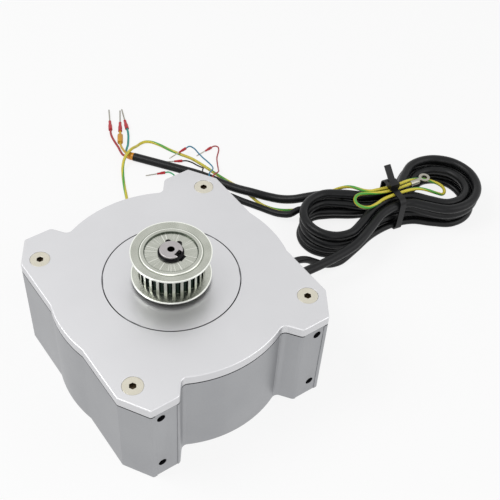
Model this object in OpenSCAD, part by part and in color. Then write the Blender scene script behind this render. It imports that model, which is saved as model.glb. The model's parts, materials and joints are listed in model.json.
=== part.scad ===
// Elevator door motor: a flat case with four corner bosses, a keyed shaft with a toothed belt
// pulley, a magnet rotor in a wound stator, a rear encoder, and two cables tied in a hank.
// Origin: centre of the back face. +Z runs along the shaft towards the pulley.

/* [Case] */
// Width of the case across its plain sides, along X
case_w = 144; // [140:0.2:147]
// Depth of the case between its screw faces, along Y
case_d = 152; // [149:0.5:158]
// Height of the case with its front cover on
case_h = 70; // [68:0.5:80]
// Radius of the round case body between the bosses
body_r = 74.6; // [73.8:0.2:75.4]
// Thickness of the front cover
cover_t = 6.5; // [5.5:0.5:8]
// Clear width between the two bosses on a screw face
boss_gap = 84.5; // [78:0.5:88]
// Length of the corner bevel along X
bevel_x = 11.2; // [9:0.1:13]
// Length of the corner bevel along Y
bevel_y = 17.5; // [14:0.5:20]
// Slope of the boss's inner wall, in degrees from X
notch_angle = 53; // [48:1:60]
// Radius of the hollow where the boss's inner wall meets the round body
notch_r = 4; // [2.5:0.5:5]
// Radius of the boss's inner edge
boss_edge_r = 3.5; // [2:0.5:4]
// Radius of the two edges of the corner bevel
bevel_edge_r = 1.5; // [1.2:0.1:3]
// Size of the softened top edge of the front cover
cover_edge = 0.8; // [0.4:0.1:1]
// Height of the groove between the case and the front cover
seam_h = 0.5; // [0.3:0.1:0.8]
// Depth of the groove between the case and the front cover
seam_d = 0.4; // [0.2:0.1:0.6]
// Wall left between the stator bore and the round body
bore_wall = 8.6; // [7:0.2:10]
// Width of the ledge that the stator stands on
ledge_w = 4; // [3:0.5:5]
// Thickness of the case floor above the encoder pocket's mouth
floor_t = 14; // [13.5:0.5:17]

/* [Screw faces] */
// Distance between the tapped holes of a screw face, along X
side_hole_gap_x = 108; // [104:1:110]
// Distance between the tapped holes of a screw face, along Z
side_hole_gap_z = 46.5; // [40:0.5:47]
// Height of the lower tapped holes
side_hole_z = 10.5; // [9:0.5:12]
// Radius of the tapped holes' wall, for M6
side_hole_r = 2.5; // [2:0.1:2.6]
// Depth of the tapped holes
side_hole_depth = 13; // [10:1:13]
// Radius of the countersunk mouth of the tapped holes
side_mouth_r = 3.65; // [3.4:0.05:4]
// Depth of that mouth
side_mouth_depth = 0.45; // [0.3:0.05:0.5]
// Width of the milled pad on each boss
pad_w = 14.4; // [13:0.2:15]
// Depth that the pad is milled
pad_cut = 0.4; // [0.2:0.1:0.6]
// Distance of the pads' middle from the shaft, along X
pad_x = 51; // [50.4:0.2:51.4]

/* [Cover screws] */
// Distance of the cover screws from the shaft, along X
cover_screw_x = 60.2; // [59.6:0.1:60.6]
// Distance of the cover screws from the shaft, along Y
cover_screw_y = 56; // [55:0.5:57]
// Radius of the screw's head
cover_head_r = 6.2; // [5.8:0.1:6.4]
// Radius of the screw's thread, for M6
cover_thread_r = 2.45; // [2.2:0.05:2.6]
// Length of the screw with its head
cover_screw_l = 20; // [16:1:24]
// Width across the flats of the hex socket
cover_socket = 4; // [3.6:0.2:4.4]
// Depth of the hex socket
cover_socket_depth = 2.4; // [2:0.1:2.8]
// Height of the cylindrical rim of the head
cover_head_rim = 0.4; // [0.3:0.1:0.6]
// Depth that the head sits below the cover's face
cover_head_sink = 0.2; // [0.1:0.1:0.4]

/* [Centre disc] */
// Radius of the ring line round the centre disc
disc_r = 42; // [41:0.5:44]
// Width of the ring line
disc_gap = 0.4; // [0.3:0.1:0.6]
// Thickness of the disc's flange
disc_flange_t = 3.5; // [3:0.1:4]
// Width of the cover ledge that carries the flange
disc_ledge = 6; // [6:0.5:7]
// Wall round the front bearing
front_boss_wall = 4; // [3:0.5:5]
// Thickness of the shoulder above the front bearing
front_lip_t = 1; // [0.8:0.1:1.5]
// Radius of the disc screws' thread
disc_screw_r = 1.2; // [1:0.1:1.4]
// Radius of the disc screws' head
disc_screw_head_r = 2.6; // [2.2:0.1:2.7]
// Height of the disc screws' head
disc_screw_head_h = 1.8; // [1.4:0.1:2.2]
// Length of thread in the disc
disc_screw_grip = 2.4; // [2:0.1:2.6]

/* [Shaft] */
// Radius of the shaft at the pulley
shaft_r = 7; // [6.6:0.1:7.2]
// Radius of the bearing journals
journal_r = 7.5; // [7.4:0.1:7.8]
// Radius of the shaft at the rotor
rotor_seat_r = 10; // [9:0.5:11]
// Radius of the rear stub that carries the encoder magnet
stub_r = 5; // [4:0.5:6]
// Distance from the cover's face to the end of the shaft
shaft_out = 24.4; // [23.8:0.1:27]
// Radius of the tapped hole in the shaft's end
centre_hole_r = 2.1; // [1.6:0.1:2.5]
// Depth of the tapped hole in the shaft's end
centre_hole_depth = 12; // [8:1:16]
// Size of the bevel on the shaft's end
shaft_end_bevel = 0.4; // [0.2:0.1:0.6]
// Width of the key
key_w = 5; // [4:0.5:5]
// Depth of the key's seat in the shaft
key_seat = 3; // [2.5:0.5:3]
// Height that the key stands out of its seat
key_proud = 2; // [1.6:0.1:2.2]
// Direction of the key from +X, in degrees
key_angle = -67; // [-180:1:180]

/* [Bearings] */
// Outer radius of the front bearing
front_ro = 17.5; // [17:0.5:18]
// Width of the front bearing
front_w = 11; // [10:0.5:12]
// Radius of the front bearing's balls
front_ball_r = 2.95; // [2.6:0.05:3]
// Number of balls in the front bearing
front_balls = 8; // [6:1:9]
// Outer radius of the rear bearing
rear_ro = 16; // [15.5:0.5:16.5]
// Width of the rear bearing
rear_w = 9; // [8:0.5:10]
// Radius of the rear bearing's balls
rear_ball_r = 2.4; // [2.2:0.05:2.5]
// Number of balls in the rear bearing
rear_balls = 9; // [7:1:10]
// Gap between a ball and its grooves
ball_gap = 0.05; // [0.02:0.01:0.08]
// Height of the wave spring behind the rear bearing
wave_h = 1.2; // [1:0.1:1.6]
// Thickness of the wave spring's steel
wave_t = 0.4; // [0.3:0.05:0.5]
// Number of waves in the spring
wave_count = 4; // [3:1:5]

/* [Rotor and stator] */
// Height of the stator stack and the rotor core
stack_h = 24; // [20:1:26]
// Number of stator teeth
teeth = 18; // [15:3:18]
// Radius of the stator's inner face
stator_ri = 44.8; // [44.6:0.1:45.4]
// Height of the tooth tips, along the radius
tip_h = 2.2; // [1.8:0.1:2.4]
// Width of a stator tooth
tooth_w = 8; // [7:0.5:8]
// Width of the opening between two tooth tips
slot_open = 3; // [2:0.5:4]
// Thickness of the stator's back iron
back_iron = 6; // [5:0.5:6]
// Wall of the coil bobbins
bobbin_t = 1; // [0.8:0.1:1.2]
// Thickness of a coil at the side of its tooth
coil_t = 2.5; // [2:0.1:2.6]
// Thickness of a coil over the end of its tooth
coil_end_t = 4; // [3:0.5:5]
// Number of magnets on the rotor
magnets = 16; // [14:2:20]
// Thickness of a magnet
magnet_t = 3; // [2:0.5:4]
// Gap between the magnets and the stator
air_gap = 0.8; // [0.6:0.1:1]
// Share of its pitch that a magnet covers
magnet_share = 0.84; // [0.7:0.02:0.9]
// Radius of the rotor's hub
hub_r = 17; // [15:0.5:19]
// Thickness of the rotor's rim
rim_t = 7; // [5:0.5:9]
// Thickness of the rotor's web
web_t = 6; // [4:0.5:10]
// Number of holes in the rotor's web
web_holes = 6; // [4:1:8]
// Radius of the holes in the rotor's web
web_hole_r = 5; // [3:0.5:6]

/* [Pulley] */
// Number of belt teeth
pulley_teeth = 26; // [24:1:27]
// Outer radius of the toothed part
pulley_r = 20.1; // [19.8:0.1:20.4]
// Radius of the rounded belt grooves
groove_r = 1.5; // [1.2:0.1:1.6]
// Depth of the belt grooves
groove_depth = 2.1; // [1.8:0.1:2.2]
// Outer radius of the flanges
flange_r = 24.4; // [24:0.2:26]
// Thickness of the flanges' sheet
flange_t = 1.2; // [1:0.1:1.4]
// Height that a flange's rim flares out
flange_flare = 0.8; // [0.4:0.1:1]
// Room between the flanges for the belt
belt_room = 15.8; // [15:0.1:16.2]
// Inner radius of the flanges, where the rolled lip holds them
flange_hole_r = 17.6; // [17.2:0.1:17.8]
// Outer radius of the rolled lip
lip_r = 18.9; // [18.8:0.05:19.1]
// Width of the rolled lip
lip_w = 2.9; // [2.4:0.1:3.2]
// Height of the rolled lip over the flange
lip_h = 0.6; // [0.4:0.1:0.7]
// Depth of the hub's face below the rolled lip
hub_sink = 1.1; // [0.8:0.1:1.2]
// Height of the pulley's lower flange above the cover
pulley_lift = 3.1; // [2.6:0.1:3.4]
// Inner radius of the retaining ring
circlip_ri = 6.5; // [6.3:0.05:6.55]
// Width of the retaining ring opposite its gap
circlip_w = 1.7; // [1.4:0.1:2]
// Thickness of the retaining ring
circlip_t = 1; // [0.8:0.1:1.1]
// Radius of the ears of the retaining ring
circlip_ear_r = 1.7; // [1.3:0.1:1.7]
// Direction of the retaining ring's gap from +X, in degrees
circlip_angle = 46; // [0:1:120]
// Outer radius of the distance sleeve
sleeve_r = 9.5; // [9:0.1:10]
// Outer radius of the shaft seal
seal_r = 13; // [12.5:0.5:14]
// Height of the shaft seal
seal_h = 4; // [3:0.5:5]

/* [Encoder] */
// Radius of the encoder pocket
pocket_r = 27; // [26:0.5:27.5]
// Depth of the encoder pocket from the back face
pocket_h = 11; // [10.6:0.1:11]
// Radius of the encoder cover
enc_cover_r = 32; // [31.5:0.5:34]
// Thickness of the encoder cover
enc_cover_t = 1.5; // [1.2:0.1:1.8]
// Distance of the encoder cover's screws from the shaft
enc_screw_ring = 29.6; // [29.4:0.1:29.8]
// Radius of the small screws' thread
small_screw_r = 1.2; // [1:0.05:1.3]
// Radius of the small screws' head
small_head_r = 2.1; // [1.8:0.1:2.2]
// Height of the small screws' head
small_head_h = 0.9; // [0.7:0.1:1]
// Length of the small screws' thread
small_screw_l = 5; // [4:0.5:5]
// Radius of the encoder board
board_r = 25; // [24:0.5:25.5]
// Thickness of the encoder board
board_t = 1.6; // [1.2:0.1:1.8]
// Height of the board above the encoder cover
board_lift = 2.1; // [2:0.1:2.2]
// Distance of the board's posts from the shaft
post_ring = 21; // [20:0.5:22]
// Radius of the board's posts
post_r = 3; // [2.8:0.1:3.2]
// Width of the sensor chip
chip_w = 6; // [5:0.5:7]
// Height of the sensor chip
chip_h = 1.2; // [1:0.1:1.4]
// Gap between the sensor chip and the magnet
chip_gap = 1; // [0.8:0.1:1.2]
// Radius of the encoder magnet
enc_magnet_r = 4; // [3:0.5:4]
// Height of the encoder magnet
enc_magnet_h = 2.5; // [2:0.5:3]
// Wall of the magnet holder
holder_wall = 1.8; // [1.4:0.1:2]
// Length of the holder on the shaft's stub
holder_grip = 3.5; // [3:0.1:4]

/* [Cables] */
// Diameter of the power cable
power_d = 6.5; // [6.1:0.1:6.8]
// Diameter of the encoder cable
encoder_d = 5; // [4.6:0.1:5.2]
// Diameter of the earth wire
earth_d = 2.3; // [2:0.1:2.4]
// Diameter of a core of the power cable
core_d = 1.8; // [1.5:0.1:1.9]
// Diameter of a wire of the encoder cable
wire_d = 1.1; // [0.9:0.1:1.2]
// Height of the cable outlets
gland_z = 20; // [19.6:0.1:20.4]
// Radius of an outlet's collar, beyond its cable
gland_collar = 2.4; // [2.2:0.1:2.5]
// Thickness of an outlet's collar
gland_collar_t = 2; // [1.5:0.5:3]
// Wall of the outlet at its tip
gland_wall = 0.8; // [0.6:0.1:1]
// Wall of the outlet where it goes through the case
gland_neck = 1.2; // [1:0.1:1.4]

/* [Hidden] */
$fn = 96;
// Overrun of every cut past the surface that it opens
over = 0.6;
// Clearance of a piece that slips into its seat
slip = 0.1;
// Clearance of a running fit
running = 0.05;
// Gap kept between neighbours that don't touch
apart = 0.3;

// Heights along the shaft
cover_z = case_h - cover_t;
rear_z = floor_t + wave_h;
rear_top = rear_z + rear_w;
front_top = case_h - seal_h - front_lip_t;
front_z = front_top - front_w;
stack_mid = (rear_top + front_z) / 2;
stack_z = stack_mid - stack_h / 2;
board_z = enc_cover_t + board_lift;
magnet_z = board_z + board_t + chip_h + chip_gap;
stub_z = magnet_z + enc_magnet_h;
pulley_z = case_h + pulley_lift;
flange_low_z = pulley_z + flange_flare;
teeth_z = flange_low_z + flange_t;
teeth_top = teeth_z + belt_room;
lip_top = teeth_top + flange_t + lip_h;
hub_top = lip_top - hub_sink;
shaft_end = case_h + shaft_out;
bore_r = body_r - bore_wall;
cavity_r = bore_r - ledge_w;
yoke_r = bore_r - back_iron;
magnet_ro = stator_ri - air_gap;
magnet_ri = magnet_ro - magnet_t;
cover_hole_r = disc_r - disc_ledge;
spigot_z = case_h - disc_flange_t;

// Room left round the rear boss, the front boss and the shaft
rear_boss_wall = 5;
web_opening_r = 8.6;
wire_hole_r = 2.6;
wire_hole_x = rear_ro + rear_boss_wall + apart + wire_hole_r;
screw_room = 0.7;
register_h = 2;
register_t = 4;
tap_room = 2;
disc_screw_ring = disc_r - disc_ledge / 2;
disc_screw_angle = 45;

// Case plan: the four lines round the corner boss at +X +Y, each with its outward direction
half_w = case_w / 2;
half_d = case_d / 2;
bevel_run = norm([bevel_x, bevel_y]);
side_out = [1, 0];
bevel_out = [bevel_y, bevel_x] / bevel_run;
face_out = [0, 1];
wall_out = [-sin(notch_angle), cos(notch_angle)];
wall_along = [-cos(notch_angle), -sin(notch_angle)];
side_point = [half_w, 0];
bevel_point = [half_w, half_d - bevel_y];
wall_point = [boss_gap / 2, half_d];

function unit(v) = v / norm(v);
function dir(a) = [cos(a), sin(a)];
function turned(v) = [-v[1], v[0]];
// Centre of an edge round of radius r between two lines, each given by a point and its outward direction
function edge_centre(p, m, q, n, r) =
  let (a = p - r * m, b = q - r * n, u = turned(m), w = turned(n))
  a + u * (cross(b - a, w) / cross(u, w));
side_bevel_c = edge_centre(side_point, side_out, bevel_point, bevel_out, bevel_edge_r);
bevel_face_c = edge_centre(bevel_point, bevel_out, wall_point, face_out, bevel_edge_r);
face_wall_c = edge_centre(wall_point, face_out, wall_point, wall_out, boss_edge_r);
notch_start = wall_point + notch_r * wall_out;
notch_dot = notch_start * wall_along;
notch_reach = -notch_dot
  - sqrt(pow(notch_dot, 2) - notch_start * notch_start + pow(body_r + notch_r, 2));
notch_c = notch_start + notch_reach * wall_along;

// Points of an arc round c, from one direction to another
function arc_points(c, r, from, to, steps) =
  [for (i = [0 : steps]) c + r * dir(from + (to - from) * i / steps)];

// Corner boss, with its outline drawn in by inset
module corner_boss(inset) {
  edge_steps = 6;
  hollow_steps = 8;
  small = bevel_edge_r - inset;
  large = boss_edge_r - inset;
  hollow = notch_r + inset;
  bevel_dir = atan2(bevel_x, bevel_y);
  wall_dir = 90 + notch_angle;
  hollow_dir = 180 + atan2(notch_c[1], notch_c[0]);
  hollow_arc = arc_points(notch_c, hollow, 180 + wall_dir, hollow_dir, hollow_steps);
  side_y = sqrt(pow(body_r - inset, 2) - pow(half_w - inset, 2));
  polygon(concat(
    [[0, 0], [half_w - inset, side_y - over]],
    arc_points(side_bevel_c, small, 0, bevel_dir, edge_steps),
    arc_points(bevel_face_c, small, bevel_dir, 90, edge_steps),
    arc_points(face_wall_c, large, 90, wall_dir, edge_steps),
    [for (i = [0 : hollow_steps - 1]) hollow_arc[i]],
    [notch_c * (body_r - inset - over) / (body_r + notch_r)]
  ));
}

module case_plan(inset = 0) {
  circle(r = body_r - inset, $fn = 180);
  for (i = [0, 1])
    for (j = [0, 1])
      mirror([i, 0, 0])
        mirror([0, j, 0])
          corner_boss(inset);
}

module at_corners(x, y) {
  for (i = [-1, 1])
    for (j = [-1, 1])
      translate([i * x, j * y, 0])
        children();
}

module around(count, radius, first = 0) {
  for (i = [0 : count - 1])
    rotate(first + i * 360 / count)
      translate([radius, 0, 0])
        children();
}

module tube(outer, inner, h) {
  difference() {
    cylinder(r = outer, h = h);
    translate([0, 0, -over]) cylinder(r = inner, h = h + 2 * over);
  }
}

// Cable outlets and earth point, on the +X and +Y sides
gland_flat = 2;
gland_face_x = body_r - gland_flat;
gland_pitch = 12;
gland_mid_y = -1;
gland_seat_margin = 1.5;
gland_len = 22;
power_y = gland_mid_y - gland_pitch / 2;
encoder_y = gland_mid_y + gland_pitch / 2;
gland_depth = 5;
earth_x = 12;
earth_z = 24;
earth_face_y = body_r - gland_flat;
earth_seat_w = 11;
earth_tap_r = 1.6;
earth_tap_depth = 8;
flat_reach = gland_flat + over;

module side_tap(z) {
  flare = (side_mouth_r - side_hole_r) / side_mouth_depth;
  face_y = half_d - pad_cut;
  for (i = [-1, 1])
    translate([i * side_hole_gap_x / 2, -face_y, z])
      rotate([-90, 0, 0]) {
        translate([0, 0, -over]) cylinder(r = side_hole_r, h = side_hole_depth + over);
        translate([0, 0, -over])
          cylinder(r1 = side_mouth_r + over * flare, r2 = side_hole_r, h = side_mouth_depth + over);
      }
}

module case_hollows() {
  translate([0, 0, stack_z]) cylinder(r = bore_r, h = case_h - stack_z);
  difference() {
    translate([0, 0, floor_t]) cylinder(r = cavity_r, h = stack_z - floor_t + over);
    cylinder(r = rear_ro + rear_boss_wall, h = rear_top + apart);
  }
  translate([0, 0, floor_t]) cylinder(r = rear_ro, h = case_h);
  cylinder(r = web_opening_r, h = case_h);
  translate([wire_hole_x, 0, 0]) cylinder(r = wire_hole_r, h = case_h);
  difference() {
    translate([0, 0, -over]) cylinder(r = pocket_r, h = pocket_h + over);
    around(3, post_ring, 60) translate([0, 0, board_z + board_t]) cylinder(r = post_r, h = pocket_h);
  }
  around(3, post_ring, 60) cylinder(r = small_screw_r, h = board_z + board_t + small_screw_l);
  translate([0, 0, -over]) cylinder(r = enc_cover_r + slip, h = enc_cover_t + over);
  around(4, enc_screw_ring, 45) cylinder(r = small_screw_r, h = enc_cover_t + small_screw_l + tap_room);
}

module housing() color([0.65, 0.655, 0.665]) difference() {
  union() {
    linear_extrude(height = cover_z - seam_h) case_plan();
    linear_extrude(height = cover_z) case_plan(seam_d);
  }
  case_hollows();
  at_corners(cover_screw_x, cover_screw_y)
    translate([0, 0, case_h - cover_screw_l - tap_room]) cylinder(r = cover_thread_r, h = case_h);
  for (i = [-1, 1])
    translate([i * pad_x - pad_w / 2, -half_d - over, -over])
      cube([pad_w, pad_cut + over, cover_z + 2 * over]);
  side_tap(side_hole_z);
  side_tap(side_hole_z + side_hole_gap_z);
  for (g = [[power_y, power_d], [encoder_y, encoder_d]])
    translate([cavity_r - over, g[0], gland_z])
      rotate([0, 90, 0])
        cylinder(r = g[1] / 2 + gland_neck, h = body_r - cavity_r + 2 * over);
  gland_seat = gland_pitch + power_d + encoder_d / 2 + gland_collar + gland_seat_margin;
  translate([gland_face_x, gland_mid_y - gland_seat / 2, gland_z - gland_seat / 2])
    cube([flat_reach, gland_seat, gland_seat]);
  translate([earth_x - earth_seat_w / 2, earth_face_y, -over])
    cube([earth_seat_w, flat_reach, earth_z + earth_seat_w / 2 + over]);
  translate([earth_x, earth_face_y + over, earth_z])
    rotate([90, 0, 0])
      cylinder(r = earth_tap_r, h = earth_tap_depth + over);
}

module front_cover() color([0.83, 0.83, 0.84]) difference() {
  union() {
    translate([0, 0, cover_z]) linear_extrude(height = cover_t - cover_edge) case_plan();
    translate([0, 0, cover_z])
      linear_extrude(height = cover_t - cover_edge / 2)
        case_plan(cover_edge / 2);
    translate([0, 0, cover_z]) linear_extrude(height = cover_t) case_plan(cover_edge);
    translate([0, 0, cover_z - register_h])
      tube(bore_r - slip, bore_r - register_t, register_h + over);
  }
  translate([0, 0, cover_z - over]) cylinder(r = cover_hole_r, h = cover_t + 2 * over);
  translate([0, 0, spigot_z]) cylinder(r = disc_r, h = cover_t);
  around(4, disc_screw_ring, disc_screw_angle)
    translate([0, 0, cover_z - over]) cylinder(r = disc_screw_r + apart, h = cover_t);
  at_corners(cover_screw_x, cover_screw_y) cover_screw_room();
}

// The hole and the countersink that a cover screw sits in
module cover_screw_room() {
  clear_r = cover_thread_r + screw_room;
  seat_r = cover_head_r + slip;
  seat_z = case_h - cover_head_sink - cover_head_rim;
  translate([0, 0, cover_z - over]) cylinder(r = clear_r, h = cover_t + over);
  translate([0, 0, seat_z]) cylinder(r = seat_r, h = cover_t);
  translate([0, 0, seat_z - (seat_r - clear_r)]) cylinder(r1 = clear_r, r2 = seat_r, h = seat_r - clear_r);
}

module cover_screws() color([0.84, 0.82, 0.76]) at_corners(cover_screw_x, cover_screw_y) {
  cone_h = cover_head_r - cover_thread_r;
  translate([0, 0, case_h - cover_head_sink])
    difference() {
      union() {
        translate([0, 0, -cover_head_rim]) cylinder(r = cover_head_r, h = cover_head_rim);
        translate([0, 0, -cover_head_rim - cone_h])
          cylinder(r1 = cover_thread_r, r2 = cover_head_r, h = cone_h);
        translate([0, 0, cover_head_sink - cover_screw_l])
          cylinder(r = cover_thread_r, h = cover_screw_l - cone_h);
      }
      translate([0, 0, -cover_socket_depth])
        cylinder(r = cover_socket / 2 / cos(30), h = cover_socket_depth + over, $fn = 6);
    }
}

module centre_disc() color([0.84, 0.84, 0.85]) difference() {
  union() {
    translate([0, 0, spigot_z]) cylinder(r = disc_r - disc_gap, h = disc_flange_t, $fn = 180);
    translate([0, 0, cover_z]) cylinder(r = cover_hole_r - slip / 2, h = cover_t - disc_flange_t + over);
    translate([0, 0, front_z - apart]) cylinder(r = front_ro + front_boss_wall, h = cover_z - front_z + over);
  }
  translate([0, 0, front_z - apart - over]) cylinder(r = front_ro, h = front_w + apart + over);
  translate([0, 0, front_z]) cylinder(r = seal_r - front_lip_t, h = case_h);
  translate([0, 0, front_top + front_lip_t]) cylinder(r = seal_r, h = case_h);
  around(4, disc_screw_ring, disc_screw_angle)
    translate([0, 0, spigot_z - over]) cylinder(r = disc_screw_r, h = disc_screw_grip + slip + over);
}

module disc_screws() color([0.3, 0.3, 0.32]) around(4, disc_screw_ring, disc_screw_angle) {
  translate([0, 0, cover_z - disc_screw_head_h]) cylinder(r = disc_screw_head_r, h = disc_screw_head_h);
  translate([0, 0, cover_z - over])
    cylinder(r = disc_screw_r, h = cover_t - disc_flange_t + disc_screw_grip + over);
}

module shaft_seal() color([0.09, 0.09, 0.1]) difference() {
  translate([0, 0, front_top + front_lip_t]) cylinder(r = seal_r, h = seal_h - slip);
  translate([0, 0, front_top]) cylinder(r = sleeve_r + running, h = case_h);
  translate([0, 0, case_h - seal_h / 3]) cylinder(r = (seal_r + sleeve_r) / 2, h = seal_h);
}

// Rings, balls and cage of a ball bearing that stands on z = 0. The shares are of a ball's radius.
shoulder_share = 0.62;
cage_wall_share = 0.3;
cage_half_share = 0.8;

module race_section(r_low, r_high, w, pitch, ball_r) {
  difference() {
    translate([r_low, 0]) square([r_high - r_low, w]);
    translate([pitch, w / 2]) circle(r = ball_r + ball_gap, $fn = 48);
  }
}

module ring_outer(ri, ro, w, ball_r) {
  pitch = (ri + ro) / 2;
  rotate_extrude() race_section(pitch + ball_r * shoulder_share, ro, w, pitch, ball_r);
}

module ring_inner(ri, ro, w, ball_r) {
  pitch = (ri + ro) / 2;
  rotate_extrude() race_section(ri, pitch - ball_r * shoulder_share, w, pitch, ball_r);
}

module balls_and_cage(ri, ro, w, ball_r, count) {
  pitch = (ri + ro) / 2;
  cage_t = ball_r * cage_wall_share;
  cage_half = ball_r * cage_half_share;
  translate([0, 0, w / 2]) {
    around(count, pitch) sphere(r = ball_r, $fn = 32);
    difference() {
      translate([0, 0, -cage_half]) tube(pitch + cage_t, pitch - cage_t, 2 * cage_half);
      around(count, pitch) sphere(r = ball_r + ball_gap, $fn = 32);
    }
  }
}

module front_bearing_outer() color([0.72, 0.73, 0.75])
  translate([0, 0, front_z]) ring_outer(journal_r, front_ro, front_w, front_ball_r);
module front_bearing_inner() color([0.72, 0.73, 0.75])
  translate([0, 0, front_z]) ring_inner(journal_r, front_ro, front_w, front_ball_r);
module front_bearing_balls() color([0.8, 0.8, 0.82])
  translate([0, 0, front_z]) balls_and_cage(journal_r, front_ro, front_w, front_ball_r, front_balls);
module rear_bearing_outer() color([0.72, 0.73, 0.75])
  translate([0, 0, rear_z]) ring_outer(journal_r, rear_ro, rear_w, rear_ball_r);
module rear_bearing_inner() color([0.72, 0.73, 0.75])
  translate([0, 0, rear_z]) ring_inner(journal_r, rear_ro, rear_w, rear_ball_r);
module rear_bearing_balls() color([0.8, 0.8, 0.82])
  translate([0, 0, rear_z]) balls_and_cage(journal_r, rear_ro, rear_w, rear_ball_r, rear_balls);

// Wavy steel ring between the case and the rear bearing's outer ring
module wave_spring() color([0.6, 0.6, 0.62]) {
  steps = 12 * wave_count;
  ring_w = 2.4;
  outer = rear_ro - apart;
  swing = (wave_h - wave_t) / 2;
  points = [for (i = [0 : steps - 1])
    let (a = 360 * i / steps, mid = floor_t + wave_h / 2 + swing * cos(wave_count * a))
    for (c = [[outer, -1], [outer, 1], [outer - ring_w, 1], [outer - ring_w, -1]])
      [c[0] * cos(a), c[0] * sin(a), mid + c[1] * wave_t / 2]];
  faces = [for (i = [0 : steps - 1]) for (k = [0 : 3])
    let (a = 4 * i + k, b = 4 * i + (k + 1) % 4, c = 4 * ((i + 1) % steps) + (k + 1) % 4,
      d = 4 * ((i + 1) % steps) + k)
    for (f = [[a, b, c], [a, c, d]]) f];
  polyhedron(points = points, faces = faces);
}

module stator_core() color([0.42, 0.42, 0.44])
  translate([0, 0, stack_z]) linear_extrude(height = stack_h) {
  difference() {
    circle(r = bore_r, $fn = 180);
    circle(r = yoke_r, $fn = 180);
  }
  difference() {
    circle(r = stator_ri + tip_h);
    circle(r = stator_ri);
    around(teeth, stator_ri, 180 / teeth)
      translate([-tip_h, -slot_open / 2])
        square([3 * tip_h, slot_open]);
  }
  around(teeth, stator_ri + tip_h / 2) translate([0, -tooth_w / 2])
    square([yoke_r - stator_ri, tooth_w]);
}

// A rectangular sleeve round a tooth, along the radius
module tooth_sleeve(inner_w, inner_h, side_t, end_t, from, to) {
  translate([from, 0, 0])
    difference() {
      translate([0, -inner_w / 2 - side_t, -inner_h / 2 - end_t])
        cube([to - from, inner_w + 2 * side_t, inner_h + 2 * end_t]);
      translate([-over, -inner_w / 2, -inner_h / 2]) cube([to - from + 2 * over, inner_w, inner_h]);
    }
}
bobbin_from = stator_ri + tip_h + apart;
bobbin_to = yoke_r - apart;

module coil_bobbins() color([0.88, 0.87, 0.82]) translate([0, 0, stack_mid]) around(teeth, 0)
  tooth_sleeve(tooth_w + slip, stack_h + slip, bobbin_t, bobbin_t, bobbin_from, bobbin_to);

module stator_windings() color([0.72, 0.4, 0.2]) translate([0, 0, stack_mid]) around(teeth, 0)
  tooth_sleeve(tooth_w + 2 * bobbin_t + 2 * slip, stack_h + 2 * bobbin_t + 2 * slip, coil_t, coil_end_t,
    bobbin_from + apart, bobbin_to - apart);

module shaft() color([0.7, 0.69, 0.69]) difference() {
  union() {
    translate([0, 0, stub_z]) cylinder(r = stub_r, h = rear_z - stub_z + over);
    translate([0, 0, rear_z]) cylinder(r = journal_r, h = rear_w + over);
    translate([0, 0, rear_top]) cylinder(r = rotor_seat_r, h = front_z - rear_top);
    translate([0, 0, front_z - over]) cylinder(r = journal_r, h = front_w + over);
    translate([0, 0, front_top - over])
      cylinder(r = shaft_r, h = shaft_end - front_top + over - shaft_end_bevel);
    translate([0, 0, shaft_end - shaft_end_bevel])
      cylinder(r1 = shaft_r, r2 = shaft_r - shaft_end_bevel, h = shaft_end_bevel);
  }
  translate([0, 0, shaft_end - centre_hole_depth]) cylinder(r = centre_hole_r, h = centre_hole_depth + over);
  rotate(key_angle)
    translate([shaft_r - key_seat, -key_w / 2, flange_low_z])
      cube([shaft_r, key_w, shaft_end]);
  translate([0, 0, hub_top])
    tube(shaft_r + over, circlip_ri, circlip_t + slip);
}

module pulley_key() color([0.06, 0.06, 0.07])
  rotate(key_angle)
    translate([shaft_r - key_seat, -key_w / 2, flange_low_z])
      cube([key_seat + key_proud, key_w, hub_top - flange_low_z]);

module rotor_core() color([0.45, 0.45, 0.47]) translate([0, 0, stack_z]) difference() {
  cylinder(r = magnet_ri, h = stack_h);
  translate([0, 0, -over]) cylinder(r = rotor_seat_r, h = stack_h + 2 * over);
  for (z = [-over, (stack_h + web_t) / 2])
    translate([0, 0, z])
      tube(magnet_ri - rim_t, hub_r, (stack_h - web_t) / 2 + over);
  around(web_holes, (magnet_ri - rim_t + hub_r) / 2)
    translate([0, 0, -over])
      cylinder(r = web_hole_r, h = stack_h + 2 * over);
}

module rotor_magnets() color([0.5, 0.5, 0.54]) {
  arc = 360 / magnets * magnet_share;
  reach = magnet_ro * 2;
  translate([0, 0, stack_z + apart])
    for (i = [0 : magnets - 1])
      rotate(i * 360 / magnets)
        linear_extrude(height = stack_h - 2 * apart)
          intersection() {
            difference() {
              circle(r = magnet_ro, $fn = 180);
              circle(r = magnet_ri, $fn = 180);
            }
            polygon([[0, 0], reach * dir(-arc / 2), reach * dir(arc / 2)]);
          }
}

module distance_sleeve() color([0.62, 0.62, 0.63])
  translate([0, 0, front_top]) tube(sleeve_r, shaft_r + running / 2, flange_low_z - front_top);

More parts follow.
